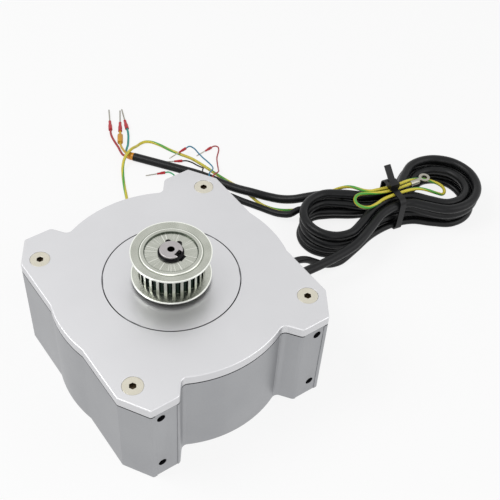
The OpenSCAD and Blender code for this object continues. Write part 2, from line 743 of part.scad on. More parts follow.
module pulley() color([0.74, 0.75, 0.7]) difference() {
  union() {
    translate([0, 0, flange_low_z]) cylinder(r = flange_hole_r, h = flange_t + over);
    translate([0, 0, teeth_z]) cylinder(r = pulley_r, h = belt_room);
    translate([0, 0, teeth_top - over]) cylinder(r = flange_hole_r, h = flange_t + over);
    translate([0, 0, teeth_top + flange_t]) cylinder(r1 = lip_r, r2 = lip_r - lip_h / 2, h = lip_h);
  }
  translate([0, 0, hub_top]) cylinder(r = lip_r - lip_w, h = lip_top);
  translate([0, 0, flange_low_z - over]) cylinder(r = shaft_r + running / 2, h = lip_top);
  around(pulley_teeth, pulley_r - groove_depth + groove_r)
    translate([0, 0, teeth_z - over]) {
      cylinder(r = groove_r, h = belt_room + 2 * over, $fn = 24);
      translate([0, -groove_r, 0]) cube([groove_depth, 2 * groove_r, belt_room + 2 * over]);
    }
  rotate(key_angle)
    translate([0, -key_w / 2, flange_low_z - over])
      cube([shaft_r + key_proud + slip, key_w, lip_top]);
}

// Sheet flange with its rim flared by flange_flare, standing on its flat inner ring
module flange(flat_r) {
  rotate_extrude($fn = 120)
    polygon([
      [flange_hole_r, 0],
      [flat_r, 0],
      [flange_r, flange_flare],
      [flange_r, flange_flare + flange_t],
      [flat_r, flange_t],
      [flange_hole_r, flange_t]
    ]);
}

module pulley_flange_upper() color([0.78, 0.79, 0.74])
  translate([0, 0, teeth_top]) flange(pulley_r);
module pulley_flange_lower() color([0.78, 0.79, 0.74])
  translate([0, 0, teeth_z]) mirror([0, 0, 1]) flange(pulley_r);

module shaft_circlip() color([0.07, 0.07, 0.08]) translate([0, 0, hub_top]) {
  gap_angle = 20;
  ear_angle = 24;
  narrow_share = 0.6;
  hole_share = 0.45;
  arm_r = circlip_ri + circlip_w * (1 + narrow_share) / 2;
  arm_shift = circlip_w * (1 - narrow_share) / 2;
  ear_ring = circlip_ri + circlip_ear_r;
  rotate(circlip_angle)
    linear_extrude(height = circlip_t)
      difference() {
        union() {
          difference() {
            translate([-arm_shift, 0]) circle(r = arm_r);
            polygon([[0, 0], 3 * shaft_r * dir(-gap_angle), 3 * shaft_r * dir(gap_angle)]);
          }
          for (side = [-1, 1])
            translate(ear_ring * dir(side * ear_angle)) circle(r = circlip_ear_r);
        }
        circle(r = circlip_ri);
        for (side = [-1, 1])
          translate(ear_ring * dir(side * ear_angle)) circle(r = circlip_ear_r * hole_share, $fn = 20);
      }
}

module magnet_holder() color([0.8, 0.66, 0.36]) difference() {
  holder_r = stub_r + holder_wall;
  translate([0, 0, magnet_z]) cylinder(r = holder_r, h = enc_magnet_h + holder_grip);
  translate([0, 0, magnet_z - over]) cylinder(r = enc_magnet_r, h = enc_magnet_h + 2 * over);
  translate([0, 0, stub_z]) cylinder(r = stub_r, h = holder_grip + over);
}
module encoder_magnet() color([0.35, 0.35, 0.38])
  translate([0, 0, magnet_z]) cylinder(r = enc_magnet_r, h = enc_magnet_h);

module encoder_board() color([0.1, 0.38, 0.22]) difference() {
  translate([0, 0, board_z]) cylinder(r = board_r, h = board_t);
  around(3, post_ring, 60) translate([0, 0, board_z - over])
    cylinder(r = small_screw_r + slip, h = board_t + 2 * over);
}

module encoder_chips() color([0.12, 0.12, 0.13]) translate([0, 0, board_z + board_t]) {
  plug_w = 9;
  plug_d = 4;
  plug_h = 4;
  plug_r = 13;
  part_w = 2.2;
  part_d = 1.4;
  part_h = 0.8;
  part_ring = 9;
  translate([-chip_w / 2, -chip_w / 2, 0]) cube([chip_w, chip_w, chip_h]);
  translate([plug_r, -plug_w / 2, 0]) cube([plug_d, plug_w, plug_h]);
  around(5, part_ring, 60) translate([-part_w / 2, -part_d / 2, 0]) cube([part_w, part_d, part_h]);
}

module board_screws() color([0.75, 0.75, 0.77]) around(3, post_ring, 60) {
  translate([0, 0, board_z - small_head_h]) cylinder(r = small_head_r, h = small_head_h);
  translate([0, 0, board_z - over]) cylinder(r = small_screw_r, h = board_t + small_screw_l - over);
}

module encoder_cover() color([0.62, 0.63, 0.64]) difference() {
  cylinder(r = enc_cover_r, h = enc_cover_t);
  around(4, enc_screw_ring, 45) {
    translate([0, 0, -over]) cylinder(r = small_screw_r + slip, h = enc_cover_t + 2 * over);
    cylinder(r1 = small_head_r + slip, r2 = small_screw_r + slip, h = small_head_h);
  }
}
module encoder_cover_screws() color([0.75, 0.75, 0.77]) around(4, enc_screw_ring, 45) {
  cylinder(r1 = small_head_r, r2 = small_screw_r, h = small_head_h);
  cylinder(r = small_screw_r, h = enc_cover_t + small_screw_l);
}

// Tapered rubber outlet round a cable, along +X from the case's face
module gland(y, cable_d) {
  bore = cable_d / 2;
  translate([gland_face_x, y, gland_z]) rotate([0, 90, 0]) difference() {
    union() {
      translate([0, 0, -gland_depth]) cylinder(r = bore + gland_neck, h = gland_depth + over);
      cylinder(r = bore + gland_collar, h = gland_collar_t);
      translate([0, 0, gland_collar_t])
        cylinder(r1 = bore + gland_neck + gland_wall, r2 = bore + gland_wall, h = gland_len - gland_collar_t);
    }
    translate([0, 0, -gland_depth - over]) cylinder(r = bore, h = gland_len + gland_depth + 2 * over);
  }
}
module power_gland() color([0.1, 0.1, 0.11]) gland(power_y, power_d);
module encoder_gland() color([0.1, 0.1, 0.11]) gland(encoder_y, encoder_d);

// Earth point: ring terminal under a pan head screw, its barrel towards the floor
lug_ring_r = 4;
lug_t = 0.8;
lug_hole_r = 2.1;
lug_neck = 2.4;
barrel_r = 1.9;
barrel_len = 7;
barrel_drop = 4.6;
screw_head_r = 3.7;
screw_head_h = 2.6;

module earth_screw() color([0.8, 0.78, 0.72])
  translate([earth_x, earth_face_y, earth_z]) rotate([-90, 0, 0]) {
  translate([0, 0, lug_t]) cylinder(r = screw_head_r, h = screw_head_h);
  translate([0, 0, slip - earth_tap_depth]) cylinder(r = earth_tap_r, h = earth_tap_depth + lug_t);
}

// A ring terminal lying on z = 0: its ring at the origin and its barrel along -Y
module lug(wire_r) {
  linear_extrude(height = lug_t)
    difference() {
      union() {
        circle(r = lug_ring_r);
        translate([-lug_neck / 2, -barrel_drop - lug_t]) square([lug_neck, barrel_drop + lug_t]);
      }
      circle(r = lug_hole_r);
    }
  translate([0, -barrel_drop, barrel_r]) rotate([90, 0, 0]) difference() {
    cylinder(r = barrel_r, h = barrel_len);
    translate([0, 0, barrel_len / 3]) cylinder(r = wire_r, h = barrel_len);
  }
}
module earth_terminal() color([0.78, 0.72, 0.55])
  translate([earth_x, earth_face_y, earth_z]) rotate([90, 0, 180]) lug(earth_d / 2);

// Routes of the free stretches: points chosen along each cord
power_lead_points = [[87, -7, 20], [96, -7, 20], [105, -7.1, 19.8], [115, -7.3, 19.4], [125, -7.3, 19.3],
  [135, -7.2, 19.8], [146, -6.6, 21]];
encoder_lead_points = [[85, 5, 20], [96, 5, 20], [104.5, 4.9, 19], [112, 4.3, 16], [118.2, 3.2, 11.4],
  [124.4, 1.6, 6.8], [131.6, -0.2, 3.6], [140, -1.1, 2.5]];
power_tail_points = [[153.5, 57, 12], [146, 63, 8.8], [140, 70, 6.4], [134.2, 78, 5.4], [126, 88, 6.2],
  [120.5, 98.5, 4.4], [115.5, 109.5, 3.25], [110, 120.5, 3.25], [104, 131, 3.25], [97, 141, 3.25],
  [90, 150.8, 3.25], [81.7, 162.3, 3.25], [73.4, 173.8, 3.25]];
encoder_tail_points = [[136.4, 53.6, 6.2], [131.2, 60, 3.9], [127.2, 68.6, 2.5], [122.3, 77.6, 2.5],
  [117, 87, 2.5], [111.8, 97.2, 2.5], [106, 106, 2.5]];
earth_lead_points = [[12, 74.5, 17], [12, 74.5, 11.5], [12.6, 75.8, 6.2], [14.4, 79, 2.5], [18, 86, 1.15],
  [27, 101, 1.15], [36.5, 119.5, 1.15], [45, 136.5, 1.15], [51.8, 152.5, 1.15], [57, 163.3, 1.15],
  [60.2, 168.8, 2.4], [63.2, 172.2, 4.8], [66.6, 174.5, 7], [70.5, 176.4, 8], [74.6, 178.6, 7.6],
  [78.8, 181.2, 5.4], [82.6, 184, 3], [87, 186.7, 1.3], [91, 186.8, 1.15], [94.8, 184.3, 1.15],
  [98.8, 177.6, 1.15], [102.6, 168.2, 1.15], [106.6, 159.6, 1.15], [111.5, 150, 1.15], [114.9, 138, 1.15],
  [117.7, 125.2, 1.15], [121.7, 110.4, 1.15], [125, 100, 1.15], [126.4, 88.5, 1.15], [127.8, 77.5, 1.15],
  [133.3, 67.7, 1.15], [140.8, 61.6, 1.2], [149, 57.6, 1.9], [157, 55.8, 4.8], [164.5, 54.2, 9],
  [171, 51, 13.4], [175.6, 46.8, 17.8], [177.6, 41.7, 22.2], [178.3, 36.4, 25.6], [179.4, 31.4, 27.3],
  [181.6, 27.4, 27.7]];
core_red_points = [[72.5, 173.1, 2.6], [69, 178, 2.6], [67.8, 181.4, 2.3], [68.4, 186, 1.6],
  [69.8, 192.4, 1.2], [70.6, 198.8, 1.2], [71.4, 204.6, 1.5], [72.8, 209.7, 1.65], [75, 214.2, 1.65]];
core_yellow_points = [[73.4, 173.8, 4.55], [69.9, 178.7, 4.55], [69.8, 183.4, 4.4], [71, 189.4, 3.2],
  [73.4, 195.6, 2.25], [77.9, 203.4, 2.25], [79, 205.4, 1.65], [80.6, 208.2, 1.65]];
core_teal_points = [[74.3, 174.5, 2.6], [70.8, 179.4, 2.6], [71.6, 183, 2], [74.2, 187, 1.2],
  [77.4, 190.6, 1], [80.8, 195.6, 1],
  [83.6, 200.2, 1.3], [85.4, 203.8, 1.65], [87, 208, 1.65]];
wire_blue_points = [[106.7, 106.5, 1.65], [105.2, 108.5, 1.7], [104.8, 112, 3.8], [106.4, 116.5, 7],
  [110, 121.5, 8], [114.5, 125, 6.2], [118.6, 129.4, 2.8], [120.6, 134, 0.9], [120.7, 140, 0.7],
  [119.9, 146, 1.1], [118.8, 151, 2.9], [117.4, 155.2, 5.2], [115.1, 158, 6.1], [112.2, 158.4, 5.3]];
wire_red_points = [[106.7, 106.5, 3.35], [105.3, 108.6, 3.5], [105.6, 111.5, 5.6], [107.8, 115, 7.8],
  [111.6, 117.8, 8.3], [117, 120, 7], [121, 125.6, 3.4], [125.5, 133.5, 1.2], [129.8, 140.4, 0.8],
  [133.8, 144.6, 0.8], [136.4, 147.8, 0.8], [137.2, 150.2, 0.9], [136.3, 151.9, 1], [134.6, 152.5, 1.1],
  [132.3, 152.3, 1.1]];
wire_black_points = [[105.3, 105.5, 3.35], [103.8, 107.5, 3.5], [102.6, 111, 4.6], [102.4, 117.5, 6.8],
  [104.8, 123.8, 8.2], [108.4, 128.4, 7.6], [111.6, 132.4, 4.2], [112.6, 136.4, 1.4], [111.4, 141, 0.7],
  [109.6, 146, 0.8], [106.8, 149.7, 1.1], [104.2, 151.2, 1.1]];
wire_green_points = [[105.3, 105.5, 1.65], [103.8, 107.5, 1.5], [101.5, 111.5, 0.9], [97.5, 120, 0.6],
  [93, 130, 0.6], [90.2, 139, 0.7], [89.6, 143.2, 0.9], [88, 146, 1.1], [85.6, 147, 1.1]];

// Hank: both cables and the earth wire run round in parallel turns, drawn in at the waist by a tie.
// One turn has 24 stations, counted from the far side of the waist over the left tip, the near side of
// the waist and the right tip. Its plan is a left and a right lobe joined by hollow arcs.
hank_place = [199, 15.5];
hank_angle = -10;
stations = 24;
lobe_half = 4;
hollow_run = 2;
hank_waist = 10;
earth_waist = 5;
pile_gap = 0.6;
power_turn_gap = 0.9;
encoder_turn_gap = 0.8;
earth_turn_gap = 1.1;
tie_t = 0.9;
tie_w = 4.8;
waist_lift = tie_t + 2 * slip;
droop = 12;
droop_from = 18;
droop_to = 44;
encoder_low = encoder_d / 2;
encoder_rise = encoder_d + pile_gap;
power_low = encoder_low + encoder_rise + encoder_d / 2 + pile_gap + power_d / 2;
power_high = power_low + power_d + pile_gap;
earth_low = power_high + waist_lift + power_d / 2 + pile_gap + earth_d / 2;

// Each lobe's distance from the waist and the radius of its outermost turn
encoder_left = [52, 24];
encoder_right = [42, 26];
power_left = [48, 27.6];
power_right = [39.5, 29.5];
earth_left = [24, 10];
earth_right = [36, 9.2];

function soft(x) = let (c = min(max(x, 0), 1)) c * c * (3 - 2 * c);

// Point of a lobe and its half of the waist, i stations from the lobe's tip, drawn in by inset
function lobe_point(lobe, waist, i, inset) =
  let (
    reach = lobe[0],
    r = lobe[1],
    hollow = (pow(reach, 2) + pow(waist, 2) - pow(r, 2)) / (2 * (r - waist)),
    lean = atan2(waist + hollow, reach),
    b = lean + (90 - lean) * (abs(i) - lobe_half) / hollow_run
  )
  abs(i) <= lobe_half
    ? [reach, 0] + (r - inset) * dir(i / lobe_half * (180 - lean))
    : sign(i) * [0, waist + hollow] + (hollow + inset) * [cos(b), -sign(i) * sin(b)];

function turn_point(left, right, waist, k, inset) =
  let (m = k - stations * floor(k / stations), on_right = m > stations / 2)
  on_right
    ? lobe_point(right, waist, m - stations * 3 / 4, inset)
    : -lobe_point(left, waist, m - stations / 4, inset);

function placed(p) =
  let (c = cos(hank_angle), s = sin(hank_angle))
  [hank_place[0] + c * p[0] - s * p[1], hank_place[1] + s * p[0] + c * p[1], p[2]];

// The turns of one cord from one station to another. It spirals in and, where it changes to a second
// layer, out again.
function wound(left, right, waist, step, from, to, low, rise, lift, drop = 0) =
  let (sense = sign(to - from), all = abs(to - from) / stations)
  [for (n = [0 : abs(to - from)])
    let (
      k = from + sense * n,
      run = n / stations,
      inset = step * (rise != 0 ? all / 2 - abs(run - all / 2) : run),
      p = turn_point(left, right, waist, k, inset),
      off_waist = abs(2 * k / stations - round(2 * k / stations)) * stations / 2,
      z = low + rise * soft(2 * (run - all / 2) + 1 / 2) + lift * (1 - soft(off_waist / lobe_half))
        - drop * soft((p[0] - droop_from) / (droop_to - droop_from))
    )
    placed([p[0], p[1], z])];

// A straight run of one diameter at each end of a wound cord
function straight_ends(p, d) =
  let (n = len(p))
  concat([p[0] + d * unit(p[0] - p[1])], p, [p[n - 1] + d * unit(p[n - 1] - p[n - 2])]);
function run_up(p, d) = [p[0] + d * unit(p[0] - p[1]), p[0]];
function run_out(p, d) = let (n = len(p)) [p[n - 1], p[n - 1] + d * unit(p[n - 1] - p[n - 2])];

power_coil = straight_ends(
  wound(power_left, power_right, hank_waist, power_d + power_turn_gap, 10, 74, power_high,
    power_low - power_high, waist_lift),
  power_d);
encoder_coil = straight_ends(
  wound(encoder_left, encoder_right, hank_waist, encoder_d + encoder_turn_gap, 10, 75, encoder_low,
    encoder_rise, waist_lift),
  encoder_d);
earth_coil = straight_ends(
  wound(earth_left, earth_right, earth_waist, earth_d + earth_turn_gap, 1, -25, earth_low, 0, 0, droop),
  earth_d);
power_lead_route = concat(power_lead_points, run_up(power_coil, power_d));
power_tail_route = concat(run_out(power_coil, power_d), power_tail_points);
encoder_lead_route = concat(encoder_lead_points, run_up(encoder_coil, encoder_d));
encoder_tail_route = concat(run_out(encoder_coil, encoder_d), encoder_tail_points);
earth_lead_route = concat(earth_lead_points, run_up(earth_coil, earth_d));

// Least gap of a wound cord to its own turns, and the length of a route
function segment_gap(p, a, b) =
  let (t = min(max((p - a) * (b - a) / ((b - a) * (b - a)), 0), 1)) norm(p - a - t * (b - a));
function least_gap(p, d) =
  min([for (i = [0 : len(p) - 1])
    for (j = [0 : len(p) - 2])
      if (abs(i - j) >= stations / 3) segment_gap(p[i], p[j], p[j + 1])]) - d;
function length_of(p, i = 1) = i == len(p) ? 0 : norm(p[i] - p[i - 1]) + length_of(p, i + 1);
echo(power_hank_gap = least_gap(power_coil, power_d));
echo(encoder_hank_gap = least_gap(encoder_coil, encoder_d));
echo(earth_hank_gap = least_gap(earth_coil, earth_d));
echo(power_length = length_of(power_lead_route) + length_of(power_coil) + length_of(power_tail_route));
echo(encoder_length = length_of(encoder_lead_route) + length_of(encoder_coil)
  + length_of(encoder_tail_route));
echo(earth_length = length_of(earth_lead_route) + length_of(earth_coil));

// Direction of a route at point i
function way_at(p, i) =
  i == 0 ? unit(p[1] - p[0])
  : i == len(p) - 1 ? unit(p[i] - p[i - 1])
  : unit(unit(p[i + 1] - p[i]) + unit(p[i] - p[i - 1]));

// Normals along a route, each turned as little as possible from the one before
function normals(p, last, i = 0) =
  i == len(p) ? []
  : let (w = way_at(p, i), n = unit(last - (last * w) * w)) concat([n], normals(p, n, i + 1));

// Round cord of diameter d, swept along the points p
module cord(p, d, sides = 8) {
  w = way_at(p, 0);
  side = abs(w[2]) > abs(w[0]) ? [1, 0, 0] : [0, 0, 1];
  n = normals(p, side);
  end = len(p) - 1;
  ring = [for (k = [0 : sides - 1]) 360 * k / sides];
  points = [for (i = [0 : end])
    for (a = ring) p[i] + d / 2 * (cos(a) * n[i] + sin(a) * cross(way_at(p, i), n[i]))];
  walls = [for (i = [0 : end - 1]) for (k = [0 : sides - 1])
    let (a = sides * i + k, b = sides * i + (k + 1) % sides)
    for (f = [[a, b + sides, b], [a, a + sides, b + sides]]) f];
  start_cap = [for (k = [1 : sides - 2]) [0, k, k + 1]];
  end_cap = [for (k = [1 : sides - 2]) [end * sides, end * sides + k + 1, end * sides + k]];
  polyhedron(points = points, faces = concat(walls, start_cap, end_cap));
}

module power_lead() color([0.09, 0.1, 0.11]) cord(power_lead_route, power_d, 10);
module power_hank() color([0.09, 0.1, 0.11]) cord(power_coil, power_d, 6);
module power_tail() color([0.09, 0.1, 0.11]) cord(power_tail_route, power_d, 10);
module encoder_lead() color([0.09, 0.1, 0.11]) cord(encoder_lead_route, encoder_d);
module encoder_hank() color([0.09, 0.1, 0.11]) cord(encoder_coil, encoder_d, 6);
module encoder_tail() color([0.09, 0.1, 0.11]) cord(encoder_tail_route, encoder_d);
module earth_lead() color([0.6, 0.76, 0.22]) cord(earth_lead_route, earth_d);
module earth_hank() color([0.6, 0.76, 0.22]) cord(earth_coil, earth_d, 6);
module core_red() color([0.72, 0.12, 0.13]) cord(core_red_points, core_d);
module core_yellow() color([0.85, 0.8, 0.24]) cord(core_yellow_points, core_d);
module core_teal() color([0.1, 0.5, 0.45]) cord(core_teal_points, core_d);
module wire_blue() color([0.15, 0.3, 0.7]) cord(wire_blue_points, wire_d);
module wire_red() color([0.72, 0.12, 0.13]) cord(wire_red_points, wire_d);
module wire_black() color([0.09, 0.1, 0.11]) cord(wire_black_points, wire_d);
module wire_green() color([0.18, 0.75, 0.48]) cord(wire_green_points, wire_d);

// Stands its children at p, with +Z turned along v
module along(p, v) {
  translate(p)
    rotate([0, acos(v[2] / norm(v)), atan2(v[1], v[0])])
      children();
}

// Stands its children at the end of a route
module at_end_of(p) {
  along(p[len(p) - 1], way_at(p, len(p) - 1)) children();
}

// Cable tie round the waist of the hank, its head and tail on top
tie_corner = 3.5;
tie_half = hank_waist + power_d / 2 - apart;
tie_top = earth_low + earth_d / 2 + slip;
tie_head = [7, 6.5, 4.6];
tie_head_v = 3;
tie_tail_l = 15;
tie_tail_t = 1.2;
tie_tail_lean = 40;

module band_outline(half, low, high, r) {
  translate([r - half, low]) square([2 * (half - r), high - low]);
  translate([-half, low + r]) square([2 * half, high - low - 2 * r]);
  for (x = [r - half, half - r])
    for (y = [low + r, high - r])
      translate([x, y])
        circle(r = r, $fn = 32);
}

module hank_tie() color([0.07, 0.07, 0.08]) translate(hank_place) rotate(hank_angle) {
  rotate([90, 0, 90])
    translate([0, 0, -tie_w / 2])
      linear_extrude(height = tie_w)
        difference() {
          band_outline(tie_half + tie_t, 0, tie_top + tie_t, tie_corner + tie_t);
          band_outline(tie_half, tie_t, tie_top, tie_corner);
        }
  translate([-tie_head[0] / 2, tie_head_v - tie_head[1] / 2, tie_top + tie_t / 2]) cube(tie_head);
  translate([0, tie_head_v, tie_top + tie_head[2] / 2])
    rotate([tie_tail_lean, 0, 0])
      translate([-tie_w / 2, 0, 0])
        cube([tie_w, tie_tail_l, tie_tail_t]);
}

// The same terminal at the wire's other end, its ring lying level
module earth_end_terminal() color([0.78, 0.72, 0.55])
  at_end_of(earth_coil)
    rotate([90, 0, 90])
      translate([0, barrel_drop + barrel_len / 3, -barrel_r])
        lug(earth_d / 2);

// Sleeve at the end of the power cable's jacket, marker on the yellow core, and the ferrules
sleeve_wall = 0.7;
sleeve_bore = 2.3;
sleeve_len = 6;
marker_wall = 1.35;
marker_points = [core_yellow_points[4], core_yellow_points[5]];
power_collar = [1.65, 11];
power_pin = [0.6, 15];
encoder_collar = [1.1, 6.5];
encoder_pin = [0.45, 9];

module core_sleeve() color([0.9, 0.6, 0.12]) at_end_of(power_tail_route)
  tube(sleeve_bore + sleeve_wall, sleeve_bore, sleeve_len);

module core_marker() color([0.84, 0.68, 0.32]) along(marker_points[0], marker_points[1] - marker_points[0])
  tube(core_d / 2 + marker_wall, core_d / 2, norm(marker_points[1] - marker_points[0]));

module ferrule(p, collar, pin) {
  at_end_of(p) {
    cylinder(r = collar[0], h = collar[1]);
    cylinder(r = pin[0], h = collar[1] + pin[1]);
  }
}
module power_ferrules() color([0.77, 0.13, 0.17])
  for (p = [core_red_points, core_yellow_points, core_teal_points])
    ferrule(p, power_collar, power_pin);
module encoder_ferrules() color([0.77, 0.13, 0.17])
  for (p = [wire_blue_points, wire_red_points, wire_black_points, wire_green_points])
    ferrule(p, encoder_collar, encoder_pin);

housing();
front_cover();
centre_disc();
disc_screws();
cover_screws();
shaft_seal();
front_bearing_outer();
front_bearing_inner();
front_bearing_balls();
rear_bearing_outer();
rear_bearing_inner();
rear_bearing_balls();
wave_spring();
stator_core();
coil_bobbins();
stator_windings();
shaft();
rotor_core();
rotor_magnets();
distance_sleeve();
pulley_key();
pulley();
pulley_flange_lower();
pulley_flange_upper();
shaft_circlip();
magnet_holder();
encoder_magnet();
encoder_board();
encoder_chips();
board_screws();
encoder_cover();
encoder_cover_screws();
power_gland();
encoder_gland();
earth_screw();
earth_terminal();
power_lead();
power_hank();
power_tail();
encoder_lead();
encoder_hank();
encoder_tail();
earth_lead();
earth_hank();
earth_end_terminal();
hank_tie();
core_red();
core_yellow();
core_teal();
core_sleeve();
core_marker();
power_ferrules();
wire_blue();
wire_red();
wire_black();
wire_green();
encoder_ferrules();
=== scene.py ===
# %% [markdown]
# # Elevator door motor
# A flat motor turns a toothed belt that pulls the doors of a lift. Its rigid pieces come from the packed
# model at their real size. This script gives each of them the finish of the real metal, rubber or plastic,
# and makes the pieces whose look needs a surface of its own: the cables in their tied hank, the plate on
# the front with its rolled edge, and the crimped ends of the wires.

# %% Load the fixed frame
import json

import bmesh
import bpy
import numpy as np
from mathutils import Euler, Matrix, Vector


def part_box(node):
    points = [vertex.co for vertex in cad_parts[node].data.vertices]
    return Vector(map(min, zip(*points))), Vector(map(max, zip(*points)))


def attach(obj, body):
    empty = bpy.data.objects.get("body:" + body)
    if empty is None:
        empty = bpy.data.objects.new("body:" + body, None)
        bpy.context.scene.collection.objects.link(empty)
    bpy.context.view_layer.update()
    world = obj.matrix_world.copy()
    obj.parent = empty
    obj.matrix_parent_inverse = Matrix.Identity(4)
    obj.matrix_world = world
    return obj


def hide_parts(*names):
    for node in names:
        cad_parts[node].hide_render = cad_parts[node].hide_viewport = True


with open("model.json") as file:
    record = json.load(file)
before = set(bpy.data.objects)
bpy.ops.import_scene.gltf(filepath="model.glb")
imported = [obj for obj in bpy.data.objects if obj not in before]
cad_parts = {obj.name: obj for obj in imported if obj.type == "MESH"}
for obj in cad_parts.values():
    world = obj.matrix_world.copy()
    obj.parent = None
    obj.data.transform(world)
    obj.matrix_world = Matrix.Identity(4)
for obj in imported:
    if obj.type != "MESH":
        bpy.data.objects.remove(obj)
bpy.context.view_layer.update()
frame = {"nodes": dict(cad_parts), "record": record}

MM = 0.001
CASE = "motor_case"
ROTOR = "rotor"
nodes = frame["nodes"]
MICRON_DIGITS = 6


def node_box(node):
    """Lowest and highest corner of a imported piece, rounded to a thousandth of a millimetre."""
    return np.round(np.array(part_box(node)), MICRON_DIGITS)


# %% [markdown]
# ## The camera
# The photograph looks down on the pulley from the front left. The camera could be placed by eye, but then no
# edge would lie on the photograph's. So its place, turn and focal length come from fitting a pinhole camera
# to the outline of the case. Its axis doesn't meet the middle of the picture, which a lens shift gives.

# %% Camera at the photograph's viewing angle
PHOTO_PX = 500
SENSOR_MM = 36
FOCAL_PX = 929.18
CENTRE_PX = (183.175, 290.883)
CAMERA_PLACE = (-0.19413, -0.31780, 0.48903)
# Degrees about X, Y and Z. The camera starts looking straight down: X tilts it up, Y rolls it a little, and
# Z turns it round.
CAMERA_TURN = (40.758, 0.064, -32.581)

camera = bpy.data.objects.new("camera", bpy.data.cameras.new("camera"))
bpy.context.scene.collection.objects.link(camera)
camera.data.sensor_width = SENSOR_MM
camera.data.lens = FOCAL_PX / PHOTO_PX * SENSOR_MM
camera.data.shift_x = (PHOTO_PX / 2 - CENTRE_PX[0]) / PHOTO_PX
camera.data.shift_y = (CENTRE_PX[1] - PHOTO_PX / 2) / PHOTO_PX
turn = Euler(np.radians(CAMERA_TURN).tolist()).to_matrix().to_4x4()
camera.matrix_world = Matrix.Translation(CAMERA_PLACE) @ turn
bpy.context.scene.camera = camera
print("camera lens", round(camera.data.lens, 1), "mm")

# %% [markdown]
# ## Surfaces from arrays
# Every new piece here is a grid of points: rows along the piece and columns round it. One function joins the
# grid into faces and another makes the object. Ends close in a row of radius zero, whose points are merged
# into one pole.

# %% Grid faces, and the object that holds them
MERGE_GAP = 0.0001 * MM
# Radians between two faces past which their edge stays sharp
CREASE = 0.6


def grid_faces(rows, columns, ring=False):
    """Quads between neighbouring rows. Columns run round a closed loop, and a ring joins its last row to
    its first."""
    r = np.arange(rows if ring else rows - 1)[:, None]
    c = np.arange(columns)[None, :]
    here = r * columns
    above = (r + 1) % rows * columns
    following = (c + 1) % columns
    quads = np.stack([here + c, here + following, above + following, above + c], -1)
    return quads.reshape(-1, 4)


def tidy_mesh(mesh, gap=MERGE_GAP, flat=0.0):
    """Merges points that lie together, joins the faces of one plane where flat is an angle, and turns the
    faces outwards."""
    work = bmesh.new()
    work.from_mesh(mesh)
    bmesh.ops.remove_doubles(work, verts=work.verts, dist=gap)
    if flat:
        bmesh.ops.dissolve_limit(work, angle_limit=flat, verts=work.verts, edges=work.edges)
    bmesh.ops.recalc_face_normals(work, faces=work.faces)
    work.to_mesh(mesh)
    work.free()


def soften(obj, sharp=CREASE):
    """Smooth shading, with a crease kept where faces meet at more than an angle in radians."""
    obj.data.shade_smooth()
    obj.data.set_sharp_from_angle(angle=sharp)


def piece(name, points, faces, body=CASE, skin=None):
    """A named object on a body. Skin is a vector at each point, which a material reads to follow the
    surface."""
    mesh = bpy.data.meshes.new(name)
    mesh.from_pydata(points.reshape(-1, 3).tolist(), [], faces.tolist())
    if skin is not None:
        layer = mesh.attributes.new("skin", "FLOAT_VECTOR", "POINT")
        layer.data.foreach_set("vector", skin.astype(np.float32).ravel())
    tidy_mesh(mesh)
    obj = bpy.data.objects.new(name, mesh)
    bpy.context.scene.collection.objects.link(obj)
    soften(obj)
    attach(obj, body)
    return obj


print("a grid of 3 rows and 4 columns has", len(grid_faces(3, 4)), "faces")

# %% [markdown]
# ## Cable routes
# Each cable is one flexible length: out of its rubber outlet, round the hank, and away to its stripped end.
# Its loose stretches follow no rule, so they are lists of points given in millimetres. A simulated
# rope would also lie well, but it wouldn't lie where the photograph's does.

# %% The loose stretches
POWER_D = 6.5 * MM
ENCODER_D = 5 * MM
EARTH_D = 2.3 * MM
power_lead = MM * np.array([
    (87, -7, 20), (96, -7, 20), (105, -7.1, 19.8), (115, -7.3, 19.4), (125, -7.3, 19.3),
    (135, -7.2, 19.8), (146, -6.6, 21),
])
encoder_lead = MM * np.array([
    (85, 5, 20), (96, 5, 20), (104.5, 4.9, 19), (112, 4.3, 16), (118.2, 3.2, 11.4), (124.4, 1.6, 6.8),
    (131.6, -0.2, 3.6), (140, -1.1, 2.5),
])
power_tail = MM * np.array([
    (153.5, 57, 12), (146, 63, 8.8), (140, 70, 6.4), (134.2, 78, 5.4), (126, 88, 6.2), (120.5, 98.5, 4.4),
    (115.5, 109.5, 3.25), (110, 120.5, 3.25), (104, 131, 3.25), (97, 141, 3.25), (90, 150.8, 3.25),
    (81.7, 162.3, 3.25), (73.4, 173.8, 3.25),
])
encoder_tail = MM * np.array([
    (136.4, 53.6, 6.2), (131.2, 60, 3.9), (127.2, 68.6, 2.5), (122.3, 77.6, 2.5), (117, 87, 2.5),
    (111.8, 97.2, 2.5), (106, 106, 2.5),
])
